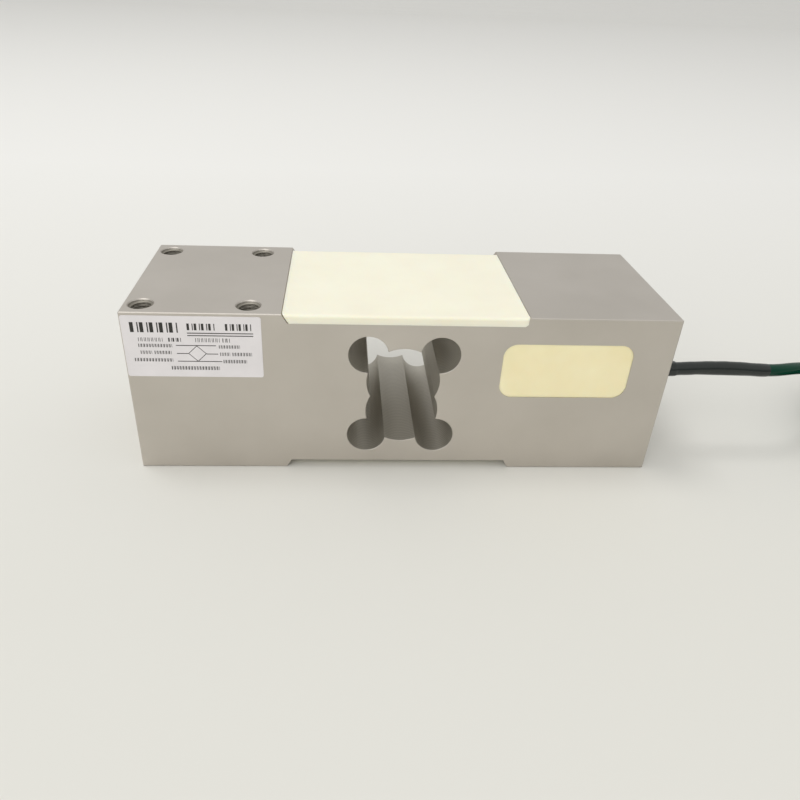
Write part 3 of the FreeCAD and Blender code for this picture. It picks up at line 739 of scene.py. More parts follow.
def nurbs_curve(name: str, points: Sequence[Vector], steps: int) -> Piece:
    """Puts one smooth open curve into the scene.

    Args:
        name: The curve's name.
        points: Its control points.
        steps: Spans for each control point.

    Returns:
        The curve.
    """
    curve = bpy.data.curves.new(name, "CURVE")
    curve.dimensions = "3D"
    spline = curve.splines.new("NURBS")
    spline.points.add(len(points) - 1)
    for target, point in zip(spline.points, points):
        target.co = (*point, 1.0)
    spline.order_u = 3
    spline.use_endpoint_u = True
    curve.resolution_u = spline.resolution_u = steps
    return add_object(name, curve)


def smooth_line(points: Sequence[Vector], steps: int) -> Line:
    """The line that such a curve draws.

    Args:
        points: The curve's control points.
        steps: Spans for each control point.

    Returns:
        The line.
    """
    holder = nurbs_curve("line", points, steps)
    bpy.context.view_layer.update()
    drawn = bpy.data.meshes.new_from_object(holder)
    line = Line([vert.co.copy() for vert in drawn.vertices])
    bpy.data.meshes.remove(drawn)
    bpy.data.curves.remove(holder.data)
    return line


# Studio


@dataclass
class Studio:
    """Pale floor, soft light and the camera, whose angles are degrees."""

    eye: Point = (-0.0227, -0.2460, 0.1627)
    yaw: float = 3.85
    pitch: float = 31.231
    roll: float = 2.529
    sensor: float = 36.0
    lens: float = 31.57
    shift: Pair = (0.0259, -0.0090)
    clip: Pair = (0.01, 20.0)
    # The floor runs from its near colour to a lighter far colour: painted light that brightens the
    # floor towards the back.
    floor_colour: Colour = (0.715, 0.705, 0.655)
    far_floor_lit_colour: Colour = (0.838, 0.83, 0.80)
    floor_light_span: Pair = (-0.1, 0.45)
    floor_cloud: float = 0.1
    floor_size: float = 6.0
    floor_level: float = -0.0001
    cove: float = 0.5
    cove_steps: int = 16
    sky_colour: Colour = (0.86, 0.86, 0.85)
    sky_strength: float = 0.88
    sky_rise: Pair = (0.08, 0.52)
    sky_tilt: float = 0.12
    wall_shade: float = 0.38
    aim: Point = (0.0, 0.0, 0.03)
    # Name, place, size and watts.
    lamps: tuple[tuple[str, Point, float, float], ...] = (
        ("key", (-0.6, 0.2, 2.0), 0.6, 8.6),
        ("fill", (-1.1, -2.5, 1.65), 3.0, 43.0),
    )

    def build(self) -> None:
        """Sets up the camera, the floor and the light."""
        self.make_camera()
        self.make_floor()
        self.make_sky()
        self.make_lamps()
        bpy.context.scene.view_settings.view_transform = "Standard"

    def make_camera(self) -> None:
        """Sets up the camera at the object's viewing angle."""
        yaw, pitch, roll = (math.radians(angle) for angle in (self.yaw, self.pitch, self.roll))
        ahead = Vector(
            (math.sin(yaw) * math.cos(pitch), math.cos(yaw) * math.cos(pitch), -math.sin(pitch))
        )
        level = Vector((math.cos(yaw), -math.sin(yaw), 0.0))
        upright = level.cross(ahead)
        right = level * math.cos(roll) + upright * math.sin(roll)
        up = upright * math.cos(roll) - level * math.sin(roll)
        data = bpy.data.cameras.new("camera")
        data.sensor_width = self.sensor
        data.lens = self.lens
        data.shift_x, data.shift_y = self.shift
        data.clip_start, data.clip_end = self.clip
        camera = add_object("camera", data)
        place = Matrix((right, up, -ahead)).transposed().to_4x4()
        place.translation = Vector(self.eye)
        camera.matrix_world = place
        bpy.context.scene.camera = camera

    def make_floor(self) -> None:
        """Lays the pale floor, with a cove at its back."""
        mesh = bmesh.new()
        half = self.floor_size / 2
        bmesh.ops.create_grid(mesh, x_segments=1, y_segments=1, size=half)
        back = [edge for edge in mesh.edges if all(vert.co.y > 0.0 for vert in edge.verts)]
        bmesh.ops.spin(
            mesh, geom=back, cent=(0.0, half, self.cove), axis=(1.0, 0.0, 0.0),
            angle=QUARTER_TURN, steps=self.cove_steps, use_merge=False,
        )
        shader = Shader("studio_floor", Roughness=0.85, Specular_IOR_Level=0.2)
        # Painted light: the colour lightens from front to back along Y; the noise adds random tone.
        depth = shader.span(shader.axes()["Y"], 0.0, 1.0, *self.floor_light_span)
        cloud = shader.math("MULTIPLY", shader.noise(scale=3.0, detail=2.0), self.floor_cloud)
        tone = shader.math("ADD", depth, cloud)
        shader.shade(
            Base_Color=shader.ramp(tone, (0.0, self.floor_colour), (1.0, self.far_floor_lit_colour))
        )
        floor = add_mesh(mesh, "floor", shader.material)
        floor.location.z = self.floor_level

    def make_sky(self) -> None:
        """Makes a plain sky over dimmer walls."""
        world = bpy.data.worlds.new("sky")
        world.use_nodes = True
        nodes = NodeTree(world.node_tree)
        axes = nodes.axes("Generated")
        rise = nodes.math("MULTIPLY_ADD", axes["Y"], self.sky_tilt, axes["Z"])
        shades = (dimmed(self.sky_colour, self.wall_shade), self.sky_colour)
        sky = nodes.tree.nodes["Background"].inputs
        nodes.feed(sky["Color"], nodes.ramp(rise, *zip(self.sky_rise, shades)))
        nodes.feed(sky["Strength"], self.sky_strength)
        bpy.context.scene.world = world

    def make_lamps(self) -> None:
        """Hangs the two broad lamps."""
        for name, place, size, power in self.lamps:
            data = bpy.data.lights.new(name, "AREA")
            data.size = size
            data.energy = power
            lamp = add_object(name, data)
            lamp.location = place
            aim = Vector(self.aim) - Vector(place)
            lamp.rotation_euler = aim.to_track_quat("-Z", "Y").to_euler()


# Spring element


@dataclass
class SpringElement:
    """The milled beam, with broken edges in its cavity and threads in its holes."""

    node: Piece
    half_width: float = 0.0325
    cavity_reach: float = 0.0215
    edge_break: float = 0.0003
    weld: float = 2e-6
    tolerance: float = 1e-6
    flat_area: float = 0.0008
    # Degrees.
    flat_angle: float = 0.6
    smooth_from: float = 1.0
    crease: float = 28.0
    outline_angle: float = 57.3
    hole_mid: float = 0.07165
    hole_spacing: Pair = (0.036, 0.051)
    height: float = 0.063
    thread_root: float = 0.00406
    thread_crest: float = 0.00345
    thread_pitch: float = 0.00125
    thread_flank: float = 0.44
    thread_flat: float = 0.07
    thread_start: float = 0.0009
    thread_turns: int = 14
    thread_steps: int = 24

    def build(self) -> None:
        """Makes the beam from the solid's own mesh."""
        mesh = bmesh.new()
        mesh.from_mesh(self.node.data)
        bmesh.ops.remove_doubles(mesh, verts=mesh.verts, dist=self.weld)
        bmesh.ops.dissolve_degenerate(mesh, dist=self.tolerance, edges=mesh.edges)
        bmesh.ops.dissolve_limit(
            mesh, angle_limit=math.radians(self.flat_angle), verts=mesh.verts, edges=mesh.edges
        )
        self.break_cavity_edges(mesh)
        self.add_threads(mesh, -self.hole_mid, self.height, -1.0)
        self.add_threads(mesh, self.hole_mid, 0.0, 1.0)
        mesh.normal_update()
        curved = [self.is_curved(face) for face in mesh.faces]
        beam = finish_piece(mesh, "milled_beam", ALUMINIUM, self.crease)
        for polygon, smooth in zip(beam.data.polygons, curved):
            polygon.use_smooth = smooth
        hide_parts("spring_element")

    def is_curved(self, face: BMFace) -> bool:
        """Tells strips of a bore or a rounded corner from flat sides.

        Args:
            face: A face of the beam.

        Returns:
            Whether it is such a strip.
        """
        if abs(face.normal.y) > FULLY_ALONG or face.calc_area() > self.flat_area:
            return False
        low, high = math.radians(self.smooth_from), math.radians(self.crease)
        angles = [edge.calc_face_angle(0.0) for edge in face.edges if edge.is_manifold]
        return any(low < angle < high for angle in angles)

    def break_cavity_edges(self, mesh: BMesh) -> None:
        """Takes the sharpness off the cavity's outline on both side faces.

        Args:
            mesh: The beam's mesh.
        """
        outline = []
        least = math.radians(self.outline_angle)
        for edge in mesh.edges:
            ends = [vert.co for vert in edge.verts]
            on_face = all(abs(abs(end.y) - self.half_width) < self.tolerance for end in ends)
            near = all(abs(end.x) < self.cavity_reach for end in ends)
            sharp = edge.is_manifold and edge.calc_face_angle() > least
            if on_face and near and sharp:
                outline.append(edge)
        round_off(mesh, outline, self.edge_break, 2, clamp=True)

    def add_threads(self, mesh: BMesh, middle: float, level: float, inward: float) -> None:
        """Cuts the threads of four holes, as one helical ridge each.

        Args:
            mesh: The beam's mesh.
            middle: The middle of the four holes along the beam.
            level: Height of the face they open in.
            inward: Direction into the beam, -1 down or 1 up.
        """
        flank, flat = self.thread_pitch * self.thread_flank, self.thread_pitch * self.thread_flat
        section = (
            (self.thread_root, -flank), (self.thread_crest, -flat),
            (self.thread_crest, flat), (self.thread_root, flank),
        )
        for side, across in product((-0.5, 0.5), repeat=2):
            centre = Vector((
                middle + side * self.hole_spacing[0], across * self.hole_spacing[1],
                level + inward * self.thread_start,
            ))
            verts = [mesh.verts.new(centre + Vector((x, 0.0, z))) for x, z in section]
            edges = [mesh.edges.new(ends) for ends in zip(verts[-1:] + verts, verts)]
            before = set(mesh.faces)
            bmesh.ops.spin(
                mesh, geom=verts + edges, cent=centre, axis=(0.0, 0.0, 1.0),
                dvec=(0.0, 0.0, inward * self.thread_pitch / self.thread_steps),
                angle=math.tau * self.thread_turns, use_merge=False,
                steps=self.thread_steps * self.thread_turns,
            )
            ridge = [face for face in mesh.faces if face not in before]
            rims = [edge for face in ridge for edge in face.edges if edge.is_boundary]
            ridge += bmesh.ops.holes_fill(mesh, edges=rims, sides=0)["faces"]
            bmesh.ops.recalc_face_normals(mesh, faces=ridge)


# Potting


@dataclass
class PottedRecess:
    """Silicone poured over the gauges in one of the beam's recesses."""

    name: str
    node: str
    floor: float
    up: float
    fill: float
    front: float
    back: float
    nose: float
    back_fall: float
    back_power: float
    corner: float
    corner_share: float = 0.8
    corner_reach: float = 0.007
    lap_round: float = 0.0
    lap_reach: float = 0.0012
    lap_fade: float = 0.5
    floor_half: float = 0.04005
    wall_run: float = 0.002
    depth: float = 0.0033
    creep: float = 0.00018
    creep_reach: float = 0.0010
    swell: float = 0.000035
    swell_along: Pair = (190.0, 90.0)
    swell_across: Pair = (150.0, 120.0)
    swell_shift: float = 0.8
    columns: int = 88
    foot_rows: int = 3
    nose_rows: int = 10
    flat_rows: int = 44
    back_rows: int = 12

    def stations(self) -> list[Pair]:
        """The silicone's side view, from its front foot to its back foot.

        Returns:
            Place across the beam and height above the recess floor, for each row.
        """
        foot = self.fill - self.nose
        rows = [(self.front, foot * step / self.foot_rows) for step in range(self.foot_rows)]
        for step in range(self.nose_rows + 1):
            turn = QUARTER_TURN * step / self.nose_rows
            rows.append((
                self.front + self.nose * (1 - math.cos(turn)),
                self.fill - self.nose * (1 - math.sin(turn)),
            ))
        start, end = self.front + self.nose, self.back - self.back_fall
        for step in range(1, self.flat_rows + 1):
            rows.append((start + (end - start) * step / self.flat_rows, self.fill))
        for step in range(1, self.back_rows + 1):
            share = step / self.back_rows
            fall = self.fill * share**self.back_power
            rows.append((end + self.back_fall * share, self.fill - fall))
        return rows

    def build(self) -> None:
        """Makes the silicone."""
        rows = self.stations()
        last = len(rows) - 1
        mesh = bmesh.new()
        bmesh.ops.create_grid(mesh, x_segments=self.columns, y_segments=last, size=1.0)
        ends = [
            [
                edge for edge in mesh.edges
                if all(vert.co.x * side > FULLY_ALONG for vert in edge.verts)
            ]
            for side in (-1.0, 1.0)
        ]
        for vert in mesh.verts:
            row = round((vert.co.y + 1.0) / 2.0 * last)
            vert.co = self.place(math.sin(vert.co.x * QUARTER_TURN), *rows[row])
        for end in ends:
            bmesh.ops.contextual_create(mesh, geom=end)
        rims = [edge for edge in mesh.edges if edge.is_boundary]
        bmesh.ops.holes_fill(mesh, edges=rims, sides=0)
        bmesh.ops.recalc_face_normals(mesh, faces=mesh.faces)
        piece = finish_piece(mesh, self.name, WHITE_SILICONE)
        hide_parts(self.node)

    def wall(self, height: float) -> float:
        """Half the recess's length at a height above its floor."""
        return self.floor_half + self.wall_run * height / self.depth

    def corner_shift(self, x: float, half: float) -> float:
        """How far the front edge draws back beside the end walls."""
        inside = max(abs(x) - (half - self.corner), 0.0) / self.corner
        return self.corner * self.corner_share * (1.0 - math.sqrt(max(1.0 - inside**2, 0.0)))

    def lap(self, across: float, height: float, y: float) -> float:
        """How far the front lip laps over the foot of the wall on the cable's side.

        Args:
            across: From -1 at one end wall to 1 at the other.
            height: Height above the recess floor.
            y: Place across the beam.

        Returns:
            The extra length.
        """
        if across <= 0.0 or not self.lap_round:
            return 0.0
        near = max(1.0 - (y - self.front) / self.lap_reach, 0.0)
        low = max(self.lap_round - height, 0.0)
        rounded = self.lap_round - math.sqrt(self.lap_round**2 - low**2)
        lapped = self.wall(self.depth) - rounded - self.wall(height)
        return min(near / self.lap_fade, 1.0) * lapped

    def place(self, across: float, y: float, height: float) -> Vector:
        """A point of the surface.

        Args:
            across: From -1 at one end wall to 1 at the other.
            y: Place across the beam.
            height: Height above the recess floor.

        Returns:
            The point.
        """
        half = self.wall(height) + self.lap(across, height, y)
        x = across * half
        near_front = max(1.0 - (y - self.front) / self.corner_reach, 0.0)
        y += self.corner_shift(x, half) * math.sqrt(near_front)
        (long, short), (wide, narrow) = self.swell_along, self.swell_across
        swell = math.sin(x * long + self.swell_shift) * math.cos(y * wide)
        swell += math.sin(x * short - y * narrow)
        creep = self.creep * math.exp((abs(x) - half) / self.creep_reach)
        on_top = (height / self.fill) ** 4
        height += on_top * (self.swell * swell * (1.0 - abs(across)) + creep)
        return Vector((x, y, self.floor + self.up * height))


@dataclass
class PocketFill:
    """Ivory silicone that fills the side pocket almost flush."""

    low: Point = (0.0345, -0.0325, 0.0316)
    high: Point = (0.0809, -0.0145, 0.0530)
    corner: float = 0.005
    corner_steps: int = 12
    rim_depth: float = 0.00022
    rings: tuple[Pair, ...] = (
        (0.00018, 0.00010), (0.00035, 0.00006), (0.0008, 0.00003), (0.0020, 0.00001),
    )

    def build(self) -> None:
        """Makes the fill."""
        mesh = bmesh.new()
        add_block(mesh, self.low, self.high)
        upright = []
        for edge in mesh.edges:
            start, end = (vert.co for vert in edge.verts)
            if abs((start - end).normalized().y) > FULLY_ALONG:
                upright.append(edge)
        round_off(mesh, upright, self.corner, self.corner_steps)
        mesh.normal_update()
        face = min(mesh.faces, key=lambda item: item.calc_center_median().y)
        bmesh.ops.translate(mesh, verts=face.verts, vec=(0.0, self.rim_depth, 0.0))
        for width, rise in self.rings:
            bmesh.ops.inset_region(mesh, faces=[face], thickness=width, use_even_offset=True)
            bmesh.ops.translate(mesh, verts=face.verts, vec=(0.0, -rise, 0.0))
        fill = finish_piece(mesh, "pocket_fill", IVORY_SILICONE)
        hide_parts("pocket_potting")


# Label


@dataclass
class LabelPrint:
    """Plain bars, rules and a bridge diamond printed on the label's film."""

    left: float = -0.0951
    top: float = 0.0619
    width: float = 0.0462
    height: float = 0.0230
    face: float = -0.03265
    ink: float = 0.00002
    # Left, right, top and bottom as shares of the label.
    rules: tuple[tuple[float, float, float, float], ...] = (
        (0.465, 0.940, 0.262, 0.276), (0.465, 0.940, 0.302, 0.316),
        (0.375, 0.665, 0.466, 0.478), (0.375, 0.460, 0.600, 0.612),
        (0.590, 0.675, 0.604, 0.616), (0.375, 0.700, 0.730, 0.742),
    )
    # The same four shares, how many letters' width, and the thick bar's share of one.
    words: tuple[tuple[float, float, float, float, int, float], ...] = (
        (0.062, 0.410, 0.105, 0.265, 5, 0.38),
        (0.467, 0.673, 0.115, 0.222, 4, 0.34),
        (0.741, 0.935, 0.115, 0.222, 4, 0.34),
        (0.110, 0.290, 0.350, 0.412, 7, 0.16),
        (0.325, 0.420, 0.350, 0.412, 3, 0.34),
        (0.520, 0.700, 0.350, 0.415, 7, 0.15),
        (0.715, 0.773, 0.350, 0.415, 2, 0.22),
        (0.105, 0.350, 0.452, 0.506, 12, 0.30),
        (0.685, 0.840, 0.462, 0.516, 8, 0.30),
        (0.115, 0.200, 0.565, 0.620, 4, 0.26),
        (0.215, 0.340, 0.565, 0.620, 6, 0.30),
        (0.690, 0.765, 0.583, 0.640, 4, 0.26),
        (0.780, 0.925, 0.583, 0.640, 7, 0.30),
        (0.065, 0.345, 0.690, 0.745, 13, 0.32),
        (0.710, 0.885, 0.705, 0.762, 9, 0.32),
        (0.325, 0.680, 0.820, 0.880, 17, 0.34),
    )
    diamond_middle: Pair = (0.525, 0.605)
    diamond_reach: float = 0.0031
    diamond_line: float = 0.00030
    thin_bar: float = 0.13
    thin_place: float = 0.55
    crease: float = 30.0

    def bar(self, mesh: BMesh, left: float, right: float, top: float, bottom: float) -> None:
        """Adds one printed bar.

        Args:
            mesh: The mesh to add to.
            left: Left edge, as a share of the label's width.
            right: Right edge.
            top: Top edge, as a share of its height from the top.
            bottom: Bottom edge.
        """
        low = (self.left + left * self.width, self.face - self.ink, self.top - bottom * self.height)
        high = (self.left + right * self.width, self.face, self.top - top * self.height)
        add_block(mesh, low, high)

    def build(self) -> None:
        """Makes the print."""
        mesh = bmesh.new()
        for left, right, top, bottom, count, share in self.words:
            pitch = (right - left) / count
            for index in range(count):
                start = left + pitch * index
                self.bar(mesh, start, start + pitch * share, top, bottom)
                thin = start + pitch * (self.thin_place + share / 2)
                self.bar(mesh, thin, thin + pitch * self.thin_bar, top, bottom)
        for rule in self.rules:
            self.bar(mesh, *rule)
        self.add_diamond(mesh)
        finish_piece(mesh, "label_print", LABEL_INK, self.crease)

    def add_diamond(self, mesh: BMesh) -> None:
        """Adds the outline of the bridge diamond.

        Args:
            mesh: The mesh to add to.
        """
        made = bmesh.ops.create_cube(mesh, size=1.0)["verts"]
        side = self.diamond_reach * math.sqrt(2.0)
        across, down = self.diamond_middle
        middle = Vector((
            self.left + across * self.width, self.face - self.ink / 2,
            self.top - down * self.height,
        ))
        turn = Matrix.Rotation(QUARTER_TURN / 2, 4, "Y")
        size = Matrix.Diagonal((side, self.ink, side, 1.0))
        moved(mesh, made, Matrix.Translation(middle) @ turn @ size)
        mesh.normal_update()
        faces = {face for vert in made for face in vert.link_faces}
        ends = [face for face in faces if abs(face.normal.y) > FULLY_ALONG]
        for end in ends:
            bmesh.ops.inset_region(mesh, faces=[end], thickness=self.diamond_line)
        bmesh.ops.bridge_loops(mesh, edges=list({edge for end in ends for edge in end.edges}))
        bmesh.ops.delete(mesh, geom=ends, context="FACES_ONLY")


# Signal cable


def eased(share: float) -> float:
    """A share from 0 to 1 that starts and ends level."""
    return share * share * (3 - 2 * share)


def beside_coil(angle: float, reach: float, height: float) -> Vector:
    """A point at an angle and a distance from the coil's axis."""
    x, y = COIL_AXIS
    return Vector((x + reach * math.cos(angle), y + reach * math.sin(angle), height))


@dataclass
class SignalCable:
    """The shielded cable: its lead, the stored coil and the tail, on one line."""

    exit: Point = (0.0955, -0.0185, 0.036)
    radius: float = 0.0024
    length: float = 2.95
    inside: float = 0.0188
    # Millimetres from the exit.
    lead: tuple[Point, ...] = (
        (4.0, 0.0, 0.0),
        (28.2, 0.9, 0.9),
        (47.0, 0.1, -0.3),
        (60.5, 4.6, -1.2),
        (78.0, 16.0, -7.5),
        (91.5, 26.0, -17.7),
    )
    # Degrees round the coil, and millimetres from its axis and above the ground.
    tail: tuple[Point, ...] = (
        (112.0, 38.6, 3.1),
        (92.0, 41.2, 2.9),
        (69.0, 43.8, 2.6),
        (45.0, 43.9, 2.75),
        (21.0, 43.9, 2.75),
        (-1.0, 44.6, 2.75),
    )
    outer_turn: float = 0.03765
    inner_turn: float = 0.01995
    rows: tuple[float, ...] = (0.0180, 0.0130, 0.0080, 0.0030)
    first_angle: float = 121.7
    last_angle: float = 134.0
    whole_turns: int = 15
    drop: float = 0.3
    points_per_turn: int = 16
    line_steps: int = 8
    jacket_steps: int = 5
    jacket_rounding: int = 6
    line: Line | None = None

    def coil_points(self) -> list[Vector]:
        """Winds the turns: four rows in and out, top to bottom.

        Returns:
            Their control points.
        """
        total = self.whole_turns + (self.first_angle - self.last_angle) / 360.0
        last_row = len(self.rows) - 1
        row_turns = (total - self.drop * last_row) / len(self.rows)
        pull = math.cos(math.pi / self.points_per_turn)
        count = round(total * self.points_per_turn)
        points = []
        for index in range(count + 1):
            turned = total * index / count
            row = min(int(turned // (row_turns + self.drop)), last_row)
            within = turned - row * (row_turns + self.drop)
            share = min(within / row_turns, 1.0)
            if row % 2:
                share = 1.0 - share
            reach = self.outer_turn + (self.inner_turn - self.outer_turn) * share
            height = self.rows[row]
            if within > row_turns and row < last_row:
                fall = (within - row_turns) / self.drop
                height += (self.rows[row + 1] - height) * fall
            angle = math.radians(self.first_angle) - turned * math.tau
            points.append(beside_coil(angle, reach / pull, height))
        return points

    def route(self) -> list[Vector]:
        """Lays the whole cable, from the side pocket to the stripped end.

        Returns:
            Its control points.
        """
        start = Vector(self.exit)
        points = [start - Vector((self.inside, 0.0, 0.0))]
        points += [start + Vector(step) * MM for step in self.lead]
        points += self.coil_points()
        for degrees, reach, height in self.tail:
            points.append(beside_coil(math.radians(degrees), reach * MM, height * MM))
        return points

    def build(self) -> Piece:
        """Makes the jacket and its line.

        Returns:
            The jacket.
        """
        route = self.route()
        self.line = smooth_line(route, self.line_steps)
        jacket = nurbs_curve("signal_cable", route, self.jacket_steps)
        jacket.data.bevel_depth = self.radius
        jacket.data.bevel_resolution = self.jacket_rounding
        jacket.data.use_fill_caps = True
        jacket.data.materials.append(material_of(GREEN_JACKET))
        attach(jacket, BODY)
        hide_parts("cable", "cable_coil", "cable_tail")
        LOG.info("signal_cable: %.3f m long", self.line.length)
        return jacket


@dataclass
class ShrinkSleeves:
    """The black sleeve and collar at the exit, and the sleeve at the stripped end."""

    cable: SignalCable
    hidden: float = 0.0042
    wall: float = 0.00016
    lip: float = 0.6
    sleeve_end: float = 0.0648
    sleeve_steps: int = 96
    # Waves to the metre in radians, their shift, and their height.
    ripples: tuple[Point, ...] = ((900.0, 0.0, 0.00003), (2300.0, 1.0, 0.00001))
    collar_end: float = 0.0283
    collar_wall: float = 0.00043
    collar_sunk: float = 0.00002
    collar_steps: int = 48
    crease: float = 0.00012
    creases: int = 7
    end_overlap: float = 0.008
    end_steps: int = 14
    end_beyond: float = 0.006
    beyond_steps: int = 8
    taper: float = 0.00055
    end_sunk: float = 0.0005
    sides: int = 28

    def shrink(self, frames: Sequence[Matrix], outside: Sequence[float], inside: float,
               name: str, node: str, crease: float = 0.0) -> Piece:
        """Makes one sleeve as a thin tube with rounded ends.

        Args:
            frames: Frames along it.
            outside: Its outer radius at each frame.
            inside: Its inner radius.
            name: The piece's name.
            node: The node that it stands for.
            crease: How deep its lengthwise creases are.

        Returns:
            The sleeve.
        """
        mesh = bmesh.new()
        lips = [inside + (radius - inside) * self.lip for radius in (outside[0], outside[-1])]
        radii = [inside, lips[0], *outside[1:-1], lips[1], inside]
        rings = [frames[0], frames[0], *frames[1:-1], frames[-1], frames[-1]]
        middle = len(frames) // 2
        add_tube(mesh, [*rings, frames[middle]], [*radii, inside], self.sides, hollow=True)
        for index, vert in enumerate(mesh.verts):
            ring = index // self.sides
            if crease and 1 < ring < len(rings) - 1:
                spot = rings[ring].inverted() @ vert.co
                turn = math.atan2(spot.y, spot.x) * self.creases
                spot *= 1.0 + crease * (math.sin(turn) - 1.0) / spot.length
                vert.co = rings[ring] @ spot
        sleeve = finish_piece(mesh, name, BLACK_SHRINK)
        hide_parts(node)
        return sleeve

    def build(self) -> list[Piece]:
        """Makes the three sleeves.

        Returns:
            The sleeves, from the exit on.
        """
        line, jacket = self.cable.line, self.cable.radius
        sleeve = jacket + self.wall
        frames = line.frames(self.hidden, self.sleeve_end, self.sleeve_steps)
        radii = []
        for step in range(len(frames)):
            reach = (self.sleeve_end - self.hidden) * step / self.sleeve_steps
            waves = (math.sin(reach * rate + shift) * high for rate, shift, high in self.ripples)
            radii.append(sleeve + sum(waves))
        on_exit = self.shrink(frames, radii, jacket, "exit_sleeve", "cable_sleeve")

        frames = line.frames(self.hidden, self.collar_end, self.collar_steps)
        radii = [sleeve + self.collar_wall] * len(frames)
        inside = sleeve - self.collar_sunk
        collar = self.shrink(frames, radii, inside, "exit_collar", "cable_collar", self.crease)

        frames = line.frames(line.length - self.end_overlap, line.length, self.end_steps)
        radii = [sleeve] * len(frames)
        last = frames[-1]
        for step in range(1, self.beyond_steps + 1):
            share = step / self.beyond_steps
            frames.append(last @ Matrix.Translation((0.0, 0.0, self.end_beyond * share)))
            radii.append(sleeve - self.taper * eased(share))
        inside = jacket - self.end_sunk
        return [on_exit, collar, self.shrink(frames, radii, inside, "end_shrink", "end_sleeve")]


@dataclass
class CoilTies:
    """Two nylon ties round the coiled turns, each with its lock head."""

    mean_radius: float = 0.0288
    middle_height: float = 0.0105
    bundle: Pair = (0.0227, 0.0199)
    strap: Pair = (0.0040, 0.0010)
    strap_share: float = 0.55
    corner: float = 0.0024
    corner_steps: int = 8
    head: Point = (0.0056, 0.0050, 0.0036)
    head_sunk: float = 0.0004
    head_corner: float = 0.0005
    head_steps: int = 3
    stub: float = 0.0030
    stub_place: float = 0.35
    stub_corner: float = 0.0002
    stub_sunk: float = 0.0002
    crease: float = 40.0
    places: tuple[tuple[str, str, float], ...] = (
        ("tie_near", "coil_tie_near", 200.0), ("tie_far", "coil_tie_far", 20.0),
    )

    def build(self) -> list[Piece]:
        """Makes both ties."""
        return [self.make_tie(*place) for place in self.places]

    def make_tie(self, name: str, node: str, degrees: float) -> Piece:
        """Makes one tie.

        Args:
            name: The piece's name.
            node: The node that it stands for.
            degrees: Where it sits round the coil.

        Returns:
            The tie.
        """
        mesh = bmesh.new()
        self.add_band(mesh)
        self.add_lock(mesh)
        stand = Matrix.Rotation(QUARTER_TURN, 4, "X")
        turn = Matrix.Rotation(math.radians(degrees), 4, "Z")
        shift = Matrix.Translation((self.mean_radius, 0.0, self.middle_height))
        axis = Matrix.Translation((*COIL_AXIS, 0.0))
        moved(mesh, mesh.verts, axis @ turn @ shift @ stand)
        tie = finish_piece(mesh, name, NYLON, self.crease)
        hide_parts(node)
        return tie

    def add_band(self, mesh: BMesh) -> None:
        """Adds the strap that goes round the turns, lying flat.

        Args:
            mesh: The mesh to add to.
        """
        width, thickness = self.strap
        size = [side + thickness for side in self.bundle]
        made = bmesh.ops.create_grid(mesh, x_segments=1, y_segments=1, size=0.5)["verts"]
        moved(mesh, made, Matrix.Diagonal((*size, 1.0, 1.0)))
        round_off(mesh, mesh.verts, self.corner, self.corner_steps, affect="VERTICES")
        outer = list(mesh.faces)
        bmesh.ops.inset_region(mesh, faces=outer, thickness=thickness * self.strap_share)
        bmesh.ops.delete(mesh, geom=outer, context="FACES_ONLY")
        grown = bmesh.ops.extrude_face_region(mesh, geom=list(mesh.faces))["geom"]
        lifted = [item for item in grown if isinstance(item, BMVert)]
        bmesh.ops.translate(mesh, verts=lifted, vec=(0.0, 0.0, width))
        bmesh.ops.translate(mesh, verts=mesh.verts, vec=(0.0, 0.0, -width / 2))
        bmesh.ops.recalc_face_normals(mesh, faces=mesh.faces)

    def add_lock(self, mesh: BMesh) -> None:
        """Adds the lock head on the strap, and the cut stub beside it.

        Args:
            mesh: The mesh to add to.
        """
        width, thickness = self.strap
        long, broad, high = self.head
        top = (self.bundle[1] + thickness) / 2
        add_block(
            mesh, (-long / 2, top - self.head_sunk, -broad / 2),
            (long / 2, top + high, broad / 2), self.head_corner, self.head_steps,
        )
        low = top + high * self.stub_place
        add_block(
            mesh, (long / 2 - self.stub_sunk, low, -width / 2),
            (long / 2 + self.stub, low + thickness, width / 2), self.stub_corner,
        )


